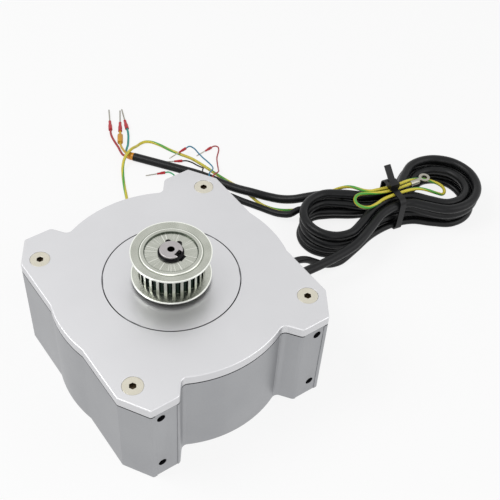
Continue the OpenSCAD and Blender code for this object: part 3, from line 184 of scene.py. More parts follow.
earth_lead = MM * np.array([
    (12, 74.5, 17), (12, 74.5, 11.5), (12.6, 75.8, 6.2), (14.4, 79, 2.5), (18, 86, 1.15), (27, 101, 1.15),
    (36.5, 119.5, 1.15), (45, 136.5, 1.15), (51.8, 152.5, 1.15), (57, 163.3, 1.15), (60.2, 168.8, 2.4),
    (63.2, 172.2, 4.8), (66.6, 174.5, 7), (70.5, 176.4, 8), (74.6, 178.6, 7.6), (78.8, 181.2, 5.4),
    (82.6, 184, 3), (87, 186.7, 1.3), (91, 186.8, 1.15), (94.8, 184.3, 1.15), (98.8, 177.6, 1.15),
    (102.6, 168.2, 1.15), (106.6, 159.6, 1.15), (111.5, 150, 1.15), (114.9, 138, 1.15),
    (117.7, 125.2, 1.15), (121.7, 110.4, 1.15), (125, 100, 1.15), (126.4, 88.5, 1.15),
    (127.8, 77.5, 1.15), (133.3, 67.7, 1.15), (140.8, 61.6, 1.2), (149, 57.6, 1.9), (157, 55.8, 4.8),
    (164.5, 54.2, 9), (171, 51, 13.4), (175.6, 46.8, 17.8), (177.6, 41.7, 22.2), (178.3, 36.4, 25.6),
    (179.4, 31.4, 27.3), (181.6, 27.4, 27.7),
])
print("loose stretches:", [len(p) for p in (power_lead, power_tail, encoder_lead, encoder_tail, earth_lead)])

# %% The stripped cores and wires
CORE_D = 1.8 * MM
WIRE_D = 1.1 * MM
core_routes = {
    "core_red": MM * np.array([
        (72.5, 173.1, 2.6), (69, 178, 2.6), (67.8, 181.4, 2.3), (68.4, 186, 1.6), (69.8, 192.4, 1.2),
        (70.6, 198.8, 1.2), (71.4, 204.6, 1.5), (72.8, 209.7, 1.65), (75, 214.2, 1.65),
    ]),
    "core_yellow": MM * np.array([
        (73.4, 173.8, 4.55), (69.9, 178.7, 4.55), (69.8, 183.4, 4.4), (71, 189.4, 3.2),
        (73.4, 195.6, 2.25), (77.9, 203.4, 2.25), (79, 205.4, 1.65), (80.6, 208.2, 1.65),
    ]),
    "core_teal": MM * np.array([
        (74.3, 174.5, 2.6), (70.8, 179.4, 2.6), (71.6, 183, 2), (74.2, 187, 1.2), (77.4, 190.6, 1),
        (80.8, 195.6, 1), (83.6, 200.2, 1.3), (85.4, 203.8, 1.65), (87, 208, 1.65),
    ]),
}
wire_routes = {
    "wire_blue": MM * np.array([
        (106.7, 106.5, 1.65), (105.2, 108.5, 1.7), (104.8, 112, 3.8), (106.4, 116.5, 7), (110, 121.5, 8),
        (114.5, 125, 6.2), (118.6, 129.4, 2.8), (120.6, 134, 0.9), (120.7, 140, 0.7), (119.9, 146, 1.1),
        (118.8, 151, 2.9), (117.4, 155.2, 5.2), (115.1, 158, 6.1), (112.2, 158.4, 5.3),
    ]),
    "wire_red": MM * np.array([
        (106.7, 106.5, 3.35), (105.3, 108.6, 3.5), (105.6, 111.5, 5.6), (107.8, 115, 7.8),
        (111.6, 117.8, 8.3), (117, 120, 7), (121, 125.6, 3.4), (125.5, 133.5, 1.2), (129.8, 140.4, 0.8),
        (133.8, 144.6, 0.8), (136.4, 147.8, 0.8), (137.2, 150.2, 0.9), (136.3, 151.9, 1),
        (134.6, 152.5, 1.1), (132.3, 152.3, 1.1),
    ]),
    "wire_black": MM * np.array([
        (105.3, 105.5, 3.35), (103.8, 107.5, 3.5), (102.6, 111, 4.6), (102.4, 117.5, 6.8),
        (104.8, 123.8, 8.2), (108.4, 128.4, 7.6), (111.6, 132.4, 4.2), (112.6, 136.4, 1.4),
        (111.4, 141, 0.7), (109.6, 146, 0.8), (106.8, 149.7, 1.1), (104.2, 151.2, 1.1),
    ]),
    "wire_green": MM * np.array([
        (105.3, 105.5, 1.65), (103.8, 107.5, 1.5), (101.5, 111.5, 0.9), (97.5, 120, 0.6), (93, 130, 0.6),
        (90.2, 139, 0.7), (89.6, 143.2, 0.9), (88, 146, 1.1), (85.6, 147, 1.1),
    ]),
}
print("stripped ends:", len(core_routes), "cores and", len(wire_routes), "wires")

# %% [markdown]
# ## The hank
# The spare cable is wound into a hank and tied round its waist. Drawing it as one closed ring per turn would
# be simpler, but a real hank is one unbroken cord. So it is a formula: every turn is two lobes joined by
# hollow arcs at the waist, and the turns step inwards, change layer and step out again.

# %% The outline of a turn
HANK_PLACE = MM * np.array([199, 15.5])
HANK_ANGLE = np.radians(-10)
STATIONS = 24
LOBE_HALF = 4
HOLLOW_RUN = 2


def soft(x):
    """Rises smoothly from 0 to 1: three times the square less twice the cube."""
    c = np.clip(x, 0, 1)
    return c * c * (3 - 2 * c)


def lobe(reach, radius, waist, i, inset):
    """Plan of one lobe, i stations from its tip: an arc round the lobe's centre up to LOBE_HALF stations,
    and past it a hollow arc that ends level at the waist."""
    hollow = (reach**2 + waist**2 - radius**2) / (2 * (radius - waist))
    lean = np.arctan2(waist + hollow, reach)
    side = np.where(i < 0, -1.0, 1.0)
    a = i / LOBE_HALF * (np.pi - lean)
    b = lean + (np.pi / 2 - lean) * (np.abs(i) - LOBE_HALF) / HOLLOW_RUN
    tip = np.stack([reach + (radius - inset) * np.cos(a), (radius - inset) * np.sin(a)], -1)
    bend = np.stack([(hollow + inset) * np.cos(b),
                     side * (waist + hollow) - side * (hollow + inset) * np.sin(b)], -1)
    return np.where((np.abs(i) <= LOBE_HALF)[:, None], tip, bend)


print("a turn has", STATIONS, "stations")

# %% The turns of a hank
WAIST_LIFT = 1.1 * MM
DROOP_FROM = 18 * MM
DROOP_TO = 44 * MM


def wound(left, right, waist, step, start, stop, low, rise, lift, drop=0.0):
    """The turns from one station to another. Left and right are the reach and the radius of a lobe. Each
    turn lies a step inside the last. Where the cord changes layer, it steps out again in the second half, and
    its height goes smoothly from low by the rise. The lift raises it at the waist, where strands cross, and
    the drop lowers it along the right lobe."""
    count = abs(stop - start)
    n = np.arange(count + 1)
    k = start + np.sign(stop - start) * n
    run, turns = n / STATIONS, count / STATIONS
    inset = step * (turns / 2 - np.abs(run - turns / 2) if rise else run)
    m = k % STATIONS
    p = np.where((m > STATIONS / 2)[:, None], lobe(*right, waist, m - STATIONS * 3 / 4, inset),
                 -lobe(*left, waist, m - STATIONS / 4, inset))
    off_waist = np.abs(2 * k / STATIONS - np.round(2 * k / STATIONS)) * STATIONS / 2
    z = low + rise * soft(2 * (run - turns / 2) + 0.5) + lift * (1 - soft(off_waist / LOBE_HALF))
    z = z - drop * soft((p[:, 0] - DROOP_FROM) / (DROOP_TO - DROOP_FROM))
    c, s = np.cos(HANK_ANGLE), np.sin(HANK_ANGLE)
    x = HANK_PLACE[0] + c * p[:, 0] - s * p[:, 1]
    y = HANK_PLACE[1] + s * p[:, 0] + c * p[:, 1]
    return np.column_stack([x, y, z])


def straight_ends(p, d):
    """Two points before the first and two after the last, one and two diameters straight on."""
    before = (p[0] - p[1]) / np.linalg.norm(p[0] - p[1])
    after = (p[-1] - p[-2]) / np.linalg.norm(p[-1] - p[-2])
    return np.vstack([p[0] + 2 * d * before, p[0] + d * before, p, p[-1] + d * after, p[-1] + 2 * d * after])


print("the middle of the hank is at", (HANK_PLACE / MM).tolist(), "mm")

# %% The three wound cords, lying on each other
PILE_GAP = 0.6 * MM
HANK_WAIST = 10 * MM
EARTH_WAIST = 5 * MM
EARTH_DROP = 12 * MM
# Reach and radius of the left lobe, and of the right one
POWER_LOBES = ((48 * MM, 27.6 * MM), (39.5 * MM, 29.5 * MM))
ENCODER_LOBES = ((52 * MM, 24 * MM), (42 * MM, 26 * MM))
EARTH_LOBES = ((24 * MM, 10 * MM), (36 * MM, 9.2 * MM))
# Gap between neighbouring turns
POWER_TURN_GAP = 0.9 * MM
ENCODER_TURN_GAP = 0.8 * MM
EARTH_TURN_GAP = 1.1 * MM
# First and last station
POWER_SPAN = (10, 74)
ENCODER_SPAN = (10, 75)
EARTH_SPAN = (1, -25)
encoder_low = ENCODER_D / 2
encoder_rise = ENCODER_D + PILE_GAP
power_low = encoder_low + encoder_rise + ENCODER_D / 2 + PILE_GAP + POWER_D / 2
power_high = power_low + POWER_D + PILE_GAP
earth_low = power_high + WAIST_LIFT + POWER_D / 2 + PILE_GAP + EARTH_D / 2
power_turns = wound(*POWER_LOBES, HANK_WAIST, POWER_D + POWER_TURN_GAP, *POWER_SPAN,
                    power_high, power_low - power_high, WAIST_LIFT)
encoder_turns = wound(*ENCODER_LOBES, HANK_WAIST, ENCODER_D + ENCODER_TURN_GAP, *ENCODER_SPAN,
                      encoder_low, encoder_rise, WAIST_LIFT)
earth_turns = wound(*EARTH_LOBES, EARTH_WAIST, EARTH_D + EARTH_TURN_GAP, *EARTH_SPAN,
                    earth_low, 0, 0, EARTH_DROP)
print("hank stations:", len(power_turns), len(encoder_turns), len(earth_turns))

# %% [markdown]
# ## Cords as swept tubes
# A cord is a circle carried along a smooth path. A spline through the points gives the path: each stretch is
# a cubic whose end slopes are the average slope of its neighbours. A bevelled curve object would also do,
# but a tube made as an array carries its own skin coordinates, so that a stripe can run along it.

# %% Smooth path
def smooth_path(points, spacing, radius):
    """A cubic through the points. Each point's slope is the mean of its neighbours' chords, the nearer one
    counting more. No part of the cord sinks into the floor."""
    p = np.asarray(points, float)
    chord = np.diff(p, axis=0)
    length = np.linalg.norm(chord, axis=1)
    slope = chord / length[:, None]
    weight = (length[1:] + length[:-1])[:, None]
    middle = (slope[1:] * length[:-1, None] + slope[:-1] * length[1:, None]) / weight
    m = np.vstack([slope[:1], middle, slope[-1:]])
    steps = np.maximum(2, np.ceil(length / spacing)).astype(int)
    part = np.repeat(np.arange(len(length)), steps)
    t = np.concatenate([np.arange(s) / s for s in steps])[:, None]
    span = length[part, None]
    path = ((1 + 2 * t) * (1 - t)**2 * p[part] + t * (1 - t)**2 * span * m[part]
            + t * t * (3 - 2 * t) * p[part + 1] + t * t * (t - 1) * span * m[part + 1])
    path = np.vstack([path, p[-1:]])
    path[:, 2] = np.maximum(path[:, 2], radius)
    return path


def path_length(path):
    """The sum of the distances between neighbouring points."""
    return float(np.linalg.norm(np.diff(path, axis=0), axis=1).sum())


print("power lead, from point to point:", round(path_length(power_lead), 3), "m")

# %% Round tube
# A direction that no cord follows, from which the rings of every tube start
REFERENCE = np.array([0.3, 0.2, 1.0])


def tube(name, path, diameter, sides, body=CASE):
    """Ring i is path[i] + r (cos a side + sin a up). The side is square to the path and to one fixed
    reference, and a ring of radius zero closes each end. The skin is (cos a, sin a, distance along)."""
    way = np.gradient(path, axis=0)
    way /= np.linalg.norm(way, axis=1)[:, None]
    side = np.cross(way, REFERENCE)
    side /= np.linalg.norm(side, axis=1)[:, None]
    up = np.cross(side, way)
    closed = np.concatenate([[0], np.arange(len(path)), [len(path) - 1]])
    radius = np.full(len(closed), diameter / 2)
    radius[[0, -1]] = 0
    a = np.linspace(0, 2 * np.pi, sides, endpoint=False)
    ring = np.cos(a)[None, :, None] * side[closed][:, None] + np.sin(a)[None, :, None] * up[closed][:, None]
    points = path[closed][:, None] + radius[:, None, None] * ring
    along = np.concatenate([[0], np.cumsum(np.linalg.norm(np.diff(path, axis=0), axis=1))])[closed]
    skin = np.stack(np.broadcast_arrays(np.cos(a)[None], np.sin(a)[None], along[:, None]), -1)
    return piece(name, points, grid_faces(len(closed), sides), body, skin)


print("tubes start their rings from", REFERENCE.tolist())

# %% The two cables and the earth wire
# Distance between rings, and sides of a ring, so that outlines look round
CABLE_SPACING = 3 * MM
EARTH_SPACING = 2 * MM
POWER_SIDES = 20
ENCODER_SIDES = 18
THIN_SIDES = 12
power_route = np.vstack([power_lead, straight_ends(power_turns, POWER_D), power_tail])
encoder_route = np.vstack([encoder_lead, straight_ends(encoder_turns, ENCODER_D), encoder_tail])
earth_route = np.vstack([earth_lead, straight_ends(earth_turns, EARTH_D)[:-1]])
power_path = smooth_path(power_route, CABLE_SPACING, POWER_D / 2)
encoder_path = smooth_path(encoder_route, CABLE_SPACING, ENCODER_D / 2)
earth_path = smooth_path(earth_route, EARTH_SPACING, EARTH_D / 2)
power_cable = tube("power_cable", power_path, POWER_D, POWER_SIDES)
encoder_cable = tube("encoder_cable", encoder_path, ENCODER_D, ENCODER_SIDES)
earth_wire = tube("earth_wire", earth_path, EARTH_D, THIN_SIDES)
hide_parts("power_lead", "power_hank", "power_tail")
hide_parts("encoder_lead", "encoder_hank", "encoder_tail")
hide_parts("earth_lead", "earth_hank")
slots = {power_cable: "black_pvc", encoder_cable: "black_pvc", earth_wire: "earth_pvc"}
print("cords:", [round(path_length(p), 3) for p in (power_path, encoder_path, earth_path)], "m")

# %% [markdown]
# ## Crimped ends
# Each core and wire ends in a ferrule: a red plastic collar that flares towards the wire, and a bare tinned
# pin that goes into the terminal. Two plain cylinders would miss the flare and the rounded mouth, so each
# part is one outline turned round the wire's own direction, as it would be on a lathe.

# %% Turned pieces
TURNED_SIDES = 20


def turned(name, outline, origin, direction, sides=TURNED_SIDES, body=CASE):
    """Turns an outline of (radius, height) pairs round an axis that starts at origin, along direction."""
    w = direction / np.linalg.norm(direction)
    u = np.cross(w, REFERENCE)
    u /= np.linalg.norm(u)
    v = np.cross(w, u)
    r, h = np.asarray(outline, float).T
    a = np.linspace(0, 2 * np.pi, sides, endpoint=False)
    ring = np.cos(a)[:, None] * u + np.sin(a)[:, None] * v
    points = np.asarray(origin) + r[:, None, None] * ring[None] + h[:, None, None] * w
    return piece(name, points, grid_faces(len(r), sides), body)


# Radii of the collar's mouth and neck and of the pin, and lengths of the collar and of the whole ferrule
power_crimp = {"mouth": 1.65, "neck": 1.2, "collar": 11, "pin": 0.6, "length": 26}
encoder_crimp = {"mouth": 1.1, "neck": 0.8, "collar": 6.5, "pin": 0.45, "length": 15.5}
LIP_IN = 0.15
LIP_LONG = 0.2
TIP_LONG = 0.4
TIP_SHARE = 0.7
MOUTH_END_SHARE = 0.45
NECK_START_SHARE = 0.7


def ferrule(name, path, mouth, neck, collar, pin, length):
    """The collar has a rounded mouth and narrows to a neck in front of the pin, whose tip is drawn in. All
    sizes are in millimetres, and the shares are of the collar's length or the pin's radius."""
    direction = path[-1] - path[-2]
    shell = MM * np.array([
        (0, 0), (mouth - LIP_IN, 0), (mouth, LIP_LONG), (mouth, MOUTH_END_SHARE * collar),
        (neck, NECK_START_SHARE * collar), (neck, collar - LIP_LONG), (neck - LIP_IN, collar), (0, collar),
    ])
    metal = MM * np.array([
        (0, collar / 2), (pin, collar / 2), (pin, length - TIP_LONG), (TIP_SHARE * pin, length), (0, length),
    ])
    sheath = turned(name + "_collar", shell, path[-1], direction)
    return sheath, turned(name + "_pin", metal, path[-1], direction)


print("ferrules are", power_crimp["length"], "and", encoder_crimp["length"], "mm long")

# %% Strands with their ferrules
STRAND_SPACING = MM
strands, crimps, strand_paths = {}, {}, {}
for routes, d, shape in ((core_routes, CORE_D, power_crimp), (wire_routes, WIRE_D, encoder_crimp)):
    for name, points in routes.items():
        strand_paths[name] = smooth_path(points, STRAND_SPACING, d / 2)
        strands[name] = tube(name + "_strand", strand_paths[name], d, THIN_SIDES)
        crimps[name] = ferrule(name, strand_paths[name], **shape)
        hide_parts(name)
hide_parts("power_ferrules")
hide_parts("encoder_ferrules")
strand_slots = {"core_red": "red_pvc", "core_yellow": "yellow_pvc", "core_teal": "teal_pvc",
                "wire_blue": "blue_pvc", "wire_red": "red_pvc", "wire_black": "black_pvc",
                "wire_green": "green_pvc"}
slots.update({strands[name]: slot for name, slot in strand_slots.items()})
slots.update({collar: "ferrule_red" for collar, pin in crimps.values()})
slots.update({pin: "tinned_lug" for collar, pin in crimps.values()})
print("strands:", {n: round(path_length(p), 3) for n, p in strand_paths.items()})

# %% [markdown]
# ## Sleeve and marker
# A soft orange sleeve closes the end of the power cable's jacket, and a short tube marks one core. Plain
# cylinders would look like cut pipes. So they are outlines turned round the cable and the core, with their
# rims drawn in a little, as on the ferrules: the sleeve tapers to the cores, and the marker is straight.

# %% The sleeve at the jacket's end, and the marker on a core
# Radius and height of each point of the outlines
SLEEVE = MM * np.array([(0, 0), (2.85, 0), (3, 0.2), (3, 3.4), (2.7, 5.2), (2.3, 6), (0, 6)])
MARKER = MM * np.array([(0, 0), (2.1, 0), (2.25, 0.25), (2.25, 8.8), (2.1, 9.05), (0, 9.05)])
SLEEVE_SIDES = 28
# The marker lies between the fifth and the sixth point of its core
MARKED = slice(4, 6)
sleeve = turned("jacket_sleeve", SLEEVE, power_path[-1], power_path[-1] - power_path[-2], SLEEVE_SIDES)
marker_from, marker_to = core_routes["core_yellow"][MARKED]
marker = turned("marker_tube", MARKER, marker_from, marker_to - marker_from)
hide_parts("core_sleeve")
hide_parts("core_marker")
slots.update({sleeve: "orange_sleeve", marker: "marker_pvc"})
print("sleeve and marker made")

# %% [markdown]
# ## Machined pieces with broken edges
# No machined edge is perfectly sharp: a file or a tumbler breaks it, and the narrow rim reflects light. The
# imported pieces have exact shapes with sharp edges, so a merged copy of each visible one gets a narrow bevel.

# %% Copies with bevelled edges
PACK_GAP = 0.002 * MM
# Radians within which neighbouring faces count as one plane
ONE_PLANE = 0.004
EDGE_STEPS = 2
node_slots = {row["node"]: row["material_slot"] for row in frame["record"]["subparts"]}


def broken_edges(node, body, width):
    """A copy of a node with its loose triangles merged, its flat faces joined and its edges bevelled."""
    mesh = nodes[node].data.copy()
    tidy_mesh(mesh, gap=PACK_GAP, flat=ONE_PLANE)
    obj = bpy.data.objects.new(node + "_finished", mesh)
    bpy.context.scene.collection.objects.link(obj)
    soften(obj)
    edge = obj.modifiers.new("broken edge", "BEVEL")
    edge.width = width
    edge.segments = EDGE_STEPS
    edge.limit_method = "ANGLE"
    edge.angle_limit = CREASE
    edge.harden_normals = True
    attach(obj, body)
    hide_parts(node)
    slots[obj] = node_slots[node]
    return obj


# The body of each piece, and the width of its bevel in millimetres
edge_widths = {
    "housing": (CASE, 0.25), "centre_disc": (CASE, 0.12), "cover_screws": (CASE, 0.12),
    "encoder_cover": (CASE, 0.2), "earth_screw": (CASE, 0.2), "earth_terminal": (CASE, 0.1),
    "earth_end_terminal": (CASE, 0.1), "power_gland": (CASE, 0.3), "encoder_gland": (CASE, 0.3),
    "hank_tie": (CASE, 0.2), "shaft": (ROTOR, 0.2), "pulley": (ROTOR, 0.12), "pulley_key": (ROTOR, 0.2),
    "pulley_flange_upper": (ROTOR, 0.2), "pulley_flange_lower": (ROTOR, 0.2), "shaft_circlip": (ROTOR, 0.1),
}
finished = {node: broken_edges(node, body, width * MM) for node, (body, width) in edge_widths.items()}
print("pieces with broken edges:", len(finished))

# %% [markdown]
# ## Every free cord
# A cord's facts are its length, its thickness, where it leaves the motor and what is on its end. The lengths
# could be typed in, but they are measured along the paths, so that they always agree with the shapes. The tie
# holds both cables, and the earth wire ends in a ring terminal.

print("declared three long cords and", len(strands), "strands")

# %% [markdown]
# ## The front plate
# The plate is milled from aluminium and blasted, with a softened top edge that catches a bright line of
# light. Its plan is the case's: a round body with four corner bosses. A boolean of simple solids would leave
# sharp edges, so the plan is a closed outline that is drawn in a little at each row of the rounded edge.

# %% Lines and rounds of the plan
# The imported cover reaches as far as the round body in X, the bosses in Y and the front face in Z
BODY_R, HALF_D, CASE_H = node_box("front_cover")[1]
HALF_W = 72 * MM
BOSS_GAP = 84.5 * MM
BEVEL_X = 11.2 * MM
BEVEL_Y = 17.5 * MM
NOTCH_ANGLE = np.radians(53)
BEVEL_EDGE_R = 1.5 * MM
BOSS_EDGE_R = 3.5 * MM
NOTCH_R = 4 * MM


def heading(angle):
    """The unit direction at an angle: its cosine and its sine."""
    return np.array([np.cos(angle), np.sin(angle)])


def edge_centre(p, m, q, n, r):
    """Centre of a round of radius r between two lines, each given by a point and its outward direction."""
    u, w = np.array([-m[1], m[0]]), np.array([-n[1], n[0]])
    t = np.linalg.solve(np.column_stack([u, -w]), (q - r * n) - (p - r * m))
    return p - r * m + u * t[0]


def arc(centre, r, start, stop, count):
    """Points round a centre: r times the cosine and the sine of evenly spaced angles."""
    a = np.linspace(start, stop, count)
    return centre + r * np.column_stack([np.cos(a), np.sin(a)])


bevel_dir = np.arctan2(BEVEL_X, BEVEL_Y)
wall_dir = np.pi / 2 + NOTCH_ANGLE
bevel_at = np.array([HALF_W, HALF_D - BEVEL_Y])
wall_at = np.array([BOSS_GAP / 2, HALF_D])
side_c = edge_centre(np.array([HALF_W, 0]), heading(0), bevel_at, heading(bevel_dir), BEVEL_EDGE_R)
face_c = edge_centre(bevel_at, heading(bevel_dir), wall_at, heading(np.pi / 2), BEVEL_EDGE_R)
wall_c = edge_centre(wall_at, heading(np.pi / 2), wall_at, heading(wall_dir), BOSS_EDGE_R)
notch_from = wall_at + NOTCH_R * heading(wall_dir)
inward = -heading(NOTCH_ANGLE)
along_wall = -notch_from @ inward
along_wall -= np.sqrt((notch_from @ inward)**2 - notch_from @ notch_from + (BODY_R + NOTCH_R)**2)
notch_c = notch_from + along_wall * inward
print("hollow's centre", np.round(notch_c / MM, 2), "mm")

# %% The plan as one closed outline
# Points on each round
EDGE_POINTS = 8
NOTCH_POINTS = 12
BODY_POINTS = 20


def case_outline(inset):
    """Closed plan, drawn in by inset: for one quarter an arc of the body, the boss's side, bevel, face and
    wall with their rounds, the hollow, and the rest of the body's arc. Mirrors give the other three."""
    r = BODY_R - inset
    notch_dir = np.arctan2(notch_c[1], notch_c[0])
    quarter = np.vstack([
        arc(np.zeros(2), r, 0, np.arccos((HALF_W - inset) / r), EDGE_POINTS),
        arc(side_c, BEVEL_EDGE_R - inset, 0, bevel_dir, EDGE_POINTS),
        arc(face_c, BEVEL_EDGE_R - inset, bevel_dir, np.pi / 2, EDGE_POINTS),
        arc(wall_c, BOSS_EDGE_R - inset, np.pi / 2, wall_dir, NOTCH_POINTS),
        arc(notch_c, NOTCH_R + inset, np.pi + wall_dir, np.pi + notch_dir, NOTCH_POINTS),
        arc(np.zeros(2), r, notch_dir, np.pi / 2, BODY_POINTS)[1:],
    ])
    half = np.vstack([quarter, (quarter * [-1, 1])[::-1][1:]])
    return np.vstack([half, (half * [1, -1])[::-1][1:-1]])


plan = case_outline(0.0)
print("plan points:", len(plan), "half depth", round(plan[:, 1].max() / MM, 2), "mm")

# %% The plate's surface, a closed ring of rows
COVER_EDGE = 0.8 * MM
DISC_R = 42 * MM
DISC_LEDGE = 6 * MM
DISC_T = 3.5 * MM
RIM = 0.15 * MM
ROLL_POINTS = 7
plan_angle = np.arctan2(*case_outline(COVER_EDGE).T[::-1])
# The plate lies on the top of the housing
plate_low = node_box("housing")[1, 2]


def plan_row(inset, z):
    """The plan, drawn in by inset, at one height."""
    outline = case_outline(inset)
    return np.column_stack([outline, np.full(len(outline), z)])


def round_row(r, z):
    """A circle at one height, with a point at the angle of each point of the plan."""
    return np.column_stack([r * np.cos(plan_angle), r * np.sin(plan_angle), np.full(len(plan_angle), z)])


roll = np.linspace(0, np.pi / 2, ROLL_POINTS)
rows = [plan_row(2 * RIM, plate_low), plan_row(0.0, plate_low + 2 * RIM)]
rows += [plan_row(COVER_EDGE * (1 - np.cos(b)), CASE_H - COVER_EDGE * (1 - np.sin(b))) for b in roll]
rows += [round_row(DISC_R + RIM, CASE_H), round_row(DISC_R, CASE_H - RIM), round_row(DISC_R, CASE_H - DISC_T),
         round_row(DISC_R - DISC_LEDGE, CASE_H - DISC_T), round_row(DISC_R - DISC_LEDGE, plate_low)]
plate = piece("front_plate", np.array(rows), grid_faces(len(rows), len(plan_angle), ring=True))
print("plate rows:", len(rows))

# %% [markdown]
# ## Countersinks
# Four screws hold the plate, one in each boss, and their heads sit in cones that a countersink cut. Weaving
# four holes into the grid would spoil its rows, so a turned cutter is taken out of the finished plate at each
# place, as a drill would do it. The mouth flares a little, like the plate's other edges.

# %% Countersinks for the four screws
SCREW_X = 60.2 * MM
SCREW_Y = 56 * MM
# Radii of the hole and of the cone's wide end, and how far that end lies below the face
HOLE_R = 3.15 * MM
SINK_R = 6.3 * MM
SINK_DEPTH = 0.6 * MM
OVERRUN = 3 * MM
CUTTER_SIDES = 64
UPWARDS = np.array([0, 0, 1.0])
BOSSES = [(-1, -1), (1, -1), (1, 1), (-1, 1)]
sink_z = CASE_H - SINK_DEPTH
mouth_r = SINK_R + 2 * RIM
countersink = np.array([
    (0, plate_low - OVERRUN), (HOLE_R, plate_low - OVERRUN), (HOLE_R, sink_z - (SINK_R - HOLE_R)),
    (SINK_R, sink_z), (SINK_R, CASE_H - RIM), (mouth_r, CASE_H + RIM), (mouth_r, CASE_H + OVERRUN),
    (0, CASE_H + OVERRUN),
])
cutters = [turned(f"countersink_{i}", countersink, (x * SCREW_X, y * SCREW_Y, 0), UPWARDS, CUTTER_SIDES)
           for i, (x, y) in enumerate(BOSSES)]
for cutter in cutters:
    cut = plate.modifiers.new("countersink", "BOOLEAN")
    cut.operation = "DIFFERENCE"
    cut.solver = "EXACT"
    cut.object = cutter
bpy.context.view_layer.update()
drilled = bpy.data.meshes.new_from_object(plate.evaluated_get(bpy.context.evaluated_depsgraph_get()))
plate.modifiers.clear()
plate.data = drilled
for cutter in cutters:
    bpy.data.objects.remove(cutter)
soften(plate)
plate.modifiers.new("flat faces stay flat", "WEIGHTED_NORMAL").keep_sharp = True
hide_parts("front_cover")
slots[plate] = "cover_aluminium"
print("plate faces:", len(plate.data.polygons))

# %% [markdown]
# ## Finishes
# A finish starts from what the real surface is and how it was made. Colours are written as they look on a
# screen, and one function turns them to the linear values that light needs. Patterns read each piece's own
# coordinates in metres, so a grain of half a millimetre is a noise scale of two thousand.

# %% Colour, node and material helpers
def linear(colour):
    """A hex colour through the sRGB curve: a straight line near black, and a power above it."""
    c = np.array([int(colour[i:i + 2], 16) for i in (1, 3, 5)]) / 255
    return (*np.where(c <= 0.04045, c / 12.92, ((c + 0.055) / 1.055)**2.4).tolist(), 1.0)


def add(tree, kind, inputs, **settings):
    """Adds a node and gives its outputs. Settings are its properties, and inputs are values or the sockets
    of other nodes, by name or number. A Mix node's factor is 0, its colours are 6 and 7, and its mixed
    colour is output 2. A Math node that compares gives 1 where value 0 is within value 2 of value 1."""
    made = tree.nodes.new("ShaderNode" + kind)
    for name, value in settings.items():
        setattr(made, name, value)
    for name, value in inputs.items():
        if isinstance(value, bpy.types.NodeSocket):
            tree.links.new(value, made.inputs[name])
        else:
            made.inputs[name].default_value = value
    return made.outputs


def begin(name, colour, roughness, metallic, ior=1.5, gloss=0.5):
    """A material with its plain values on the shader's own sockets, and the place on the piece to read."""
    material = bpy.data.materials.new(name)
    material.use_nodes = True
    tree = material.node_tree
    shader = tree.nodes["Principled BSDF"]
    shader.inputs["Base Color"].default_value = linear(colour)
    shader.inputs["Roughness"].default_value = roughness
    shader.inputs["Metallic"].default_value = metallic
    shader.inputs["IOR"].default_value = ior
    shader.inputs["Specular IOR Level"].default_value = gloss
    return material, tree, shader, add(tree, "TexCoord", {})["Object"]


print("a middle grey of 0.5 on the screen is", round(linear("#808080")[0], 3), "of the light")

# %% Grain that every finish shares
PATCH_DETAIL = 3.0
GRIT_DETAIL = 2.0
# Nearly all of a noise lies between these values
NOISE_LOW = 0.3
NOISE_HIGH = 0.7


def grain(tree, shader, where, light, dark, patch_mm, grit_mm, depth_mm, rough):
    """Colour drifts between two tones over patches, and the grit varies the roughness between two values
    and stands out as a fine relief."""
    patches = {"Vector": where, "Scale": 1 / (patch_mm * MM), "Detail": PATCH_DETAIL}
    grits = {"Vector": where, "Scale": 1 / (grit_mm * MM), "Detail": GRIT_DETAIL}
    patch = add(tree, "TexNoise", patches)["Fac"]
    grit = add(tree, "TexNoise", grits)["Fac"]
    tone = add(tree, "Mix", {0: patch, 6: linear(dark), 7: linear(light)}, data_type="RGBA")[2]
    spread = {"Value": grit, "From Min": NOISE_LOW, "From Max": NOISE_HIGH}
    spread.update({"To Min": rough[0], "To Max": rough[1]})
    gloss = add(tree, "MapRange", spread)["Result"]
    relief = add(tree, "Bump", {"Height": grit, "Distance": depth_mm * MM})["Normal"]
    tree.links.new(tone, shader.inputs["Base Color"])
    tree.links.new(gloss, shader.inputs["Roughness"])
    tree.links.new(relief, shader.inputs["Normal"])
    return tone


def stain(tree, shader, tone, mask, colour):
    """Covers the tone with another colour where the mask is 1."""
    mixed = add(tree, "Mix", {0: mask, 6: tone, 7: linear(colour)}, data_type="RGBA")[2]
    tree.links.new(mixed, shader.inputs["Base Color"])
    return mixed


def finish(name, light, dark, metallic, patch_mm, grit_mm, depth_mm, rough, ior=1.5, gloss=0.5):
    """A material that is its grain alone."""
    material, tree, shader, where = begin(name, light, rough[0], metallic, ior, gloss)
    grain(tree, shader, where, light, dark, patch_mm, grit_mm, depth_mm, rough)
    return material


print("helpers ready")

# %% [markdown]
# ## Plain metals
# Bearings, sheets, magnets, brass, tinned copper and blackened steel each have one even skin. A single grey
# for all would be quick, but each metal tints what it reflects in its own way. So all are metallic with the
# usual index of refraction, and differ in tint and roughness. Their real grits are too fine to show, and are
# drawn at 0.3 to 0.5 mm.

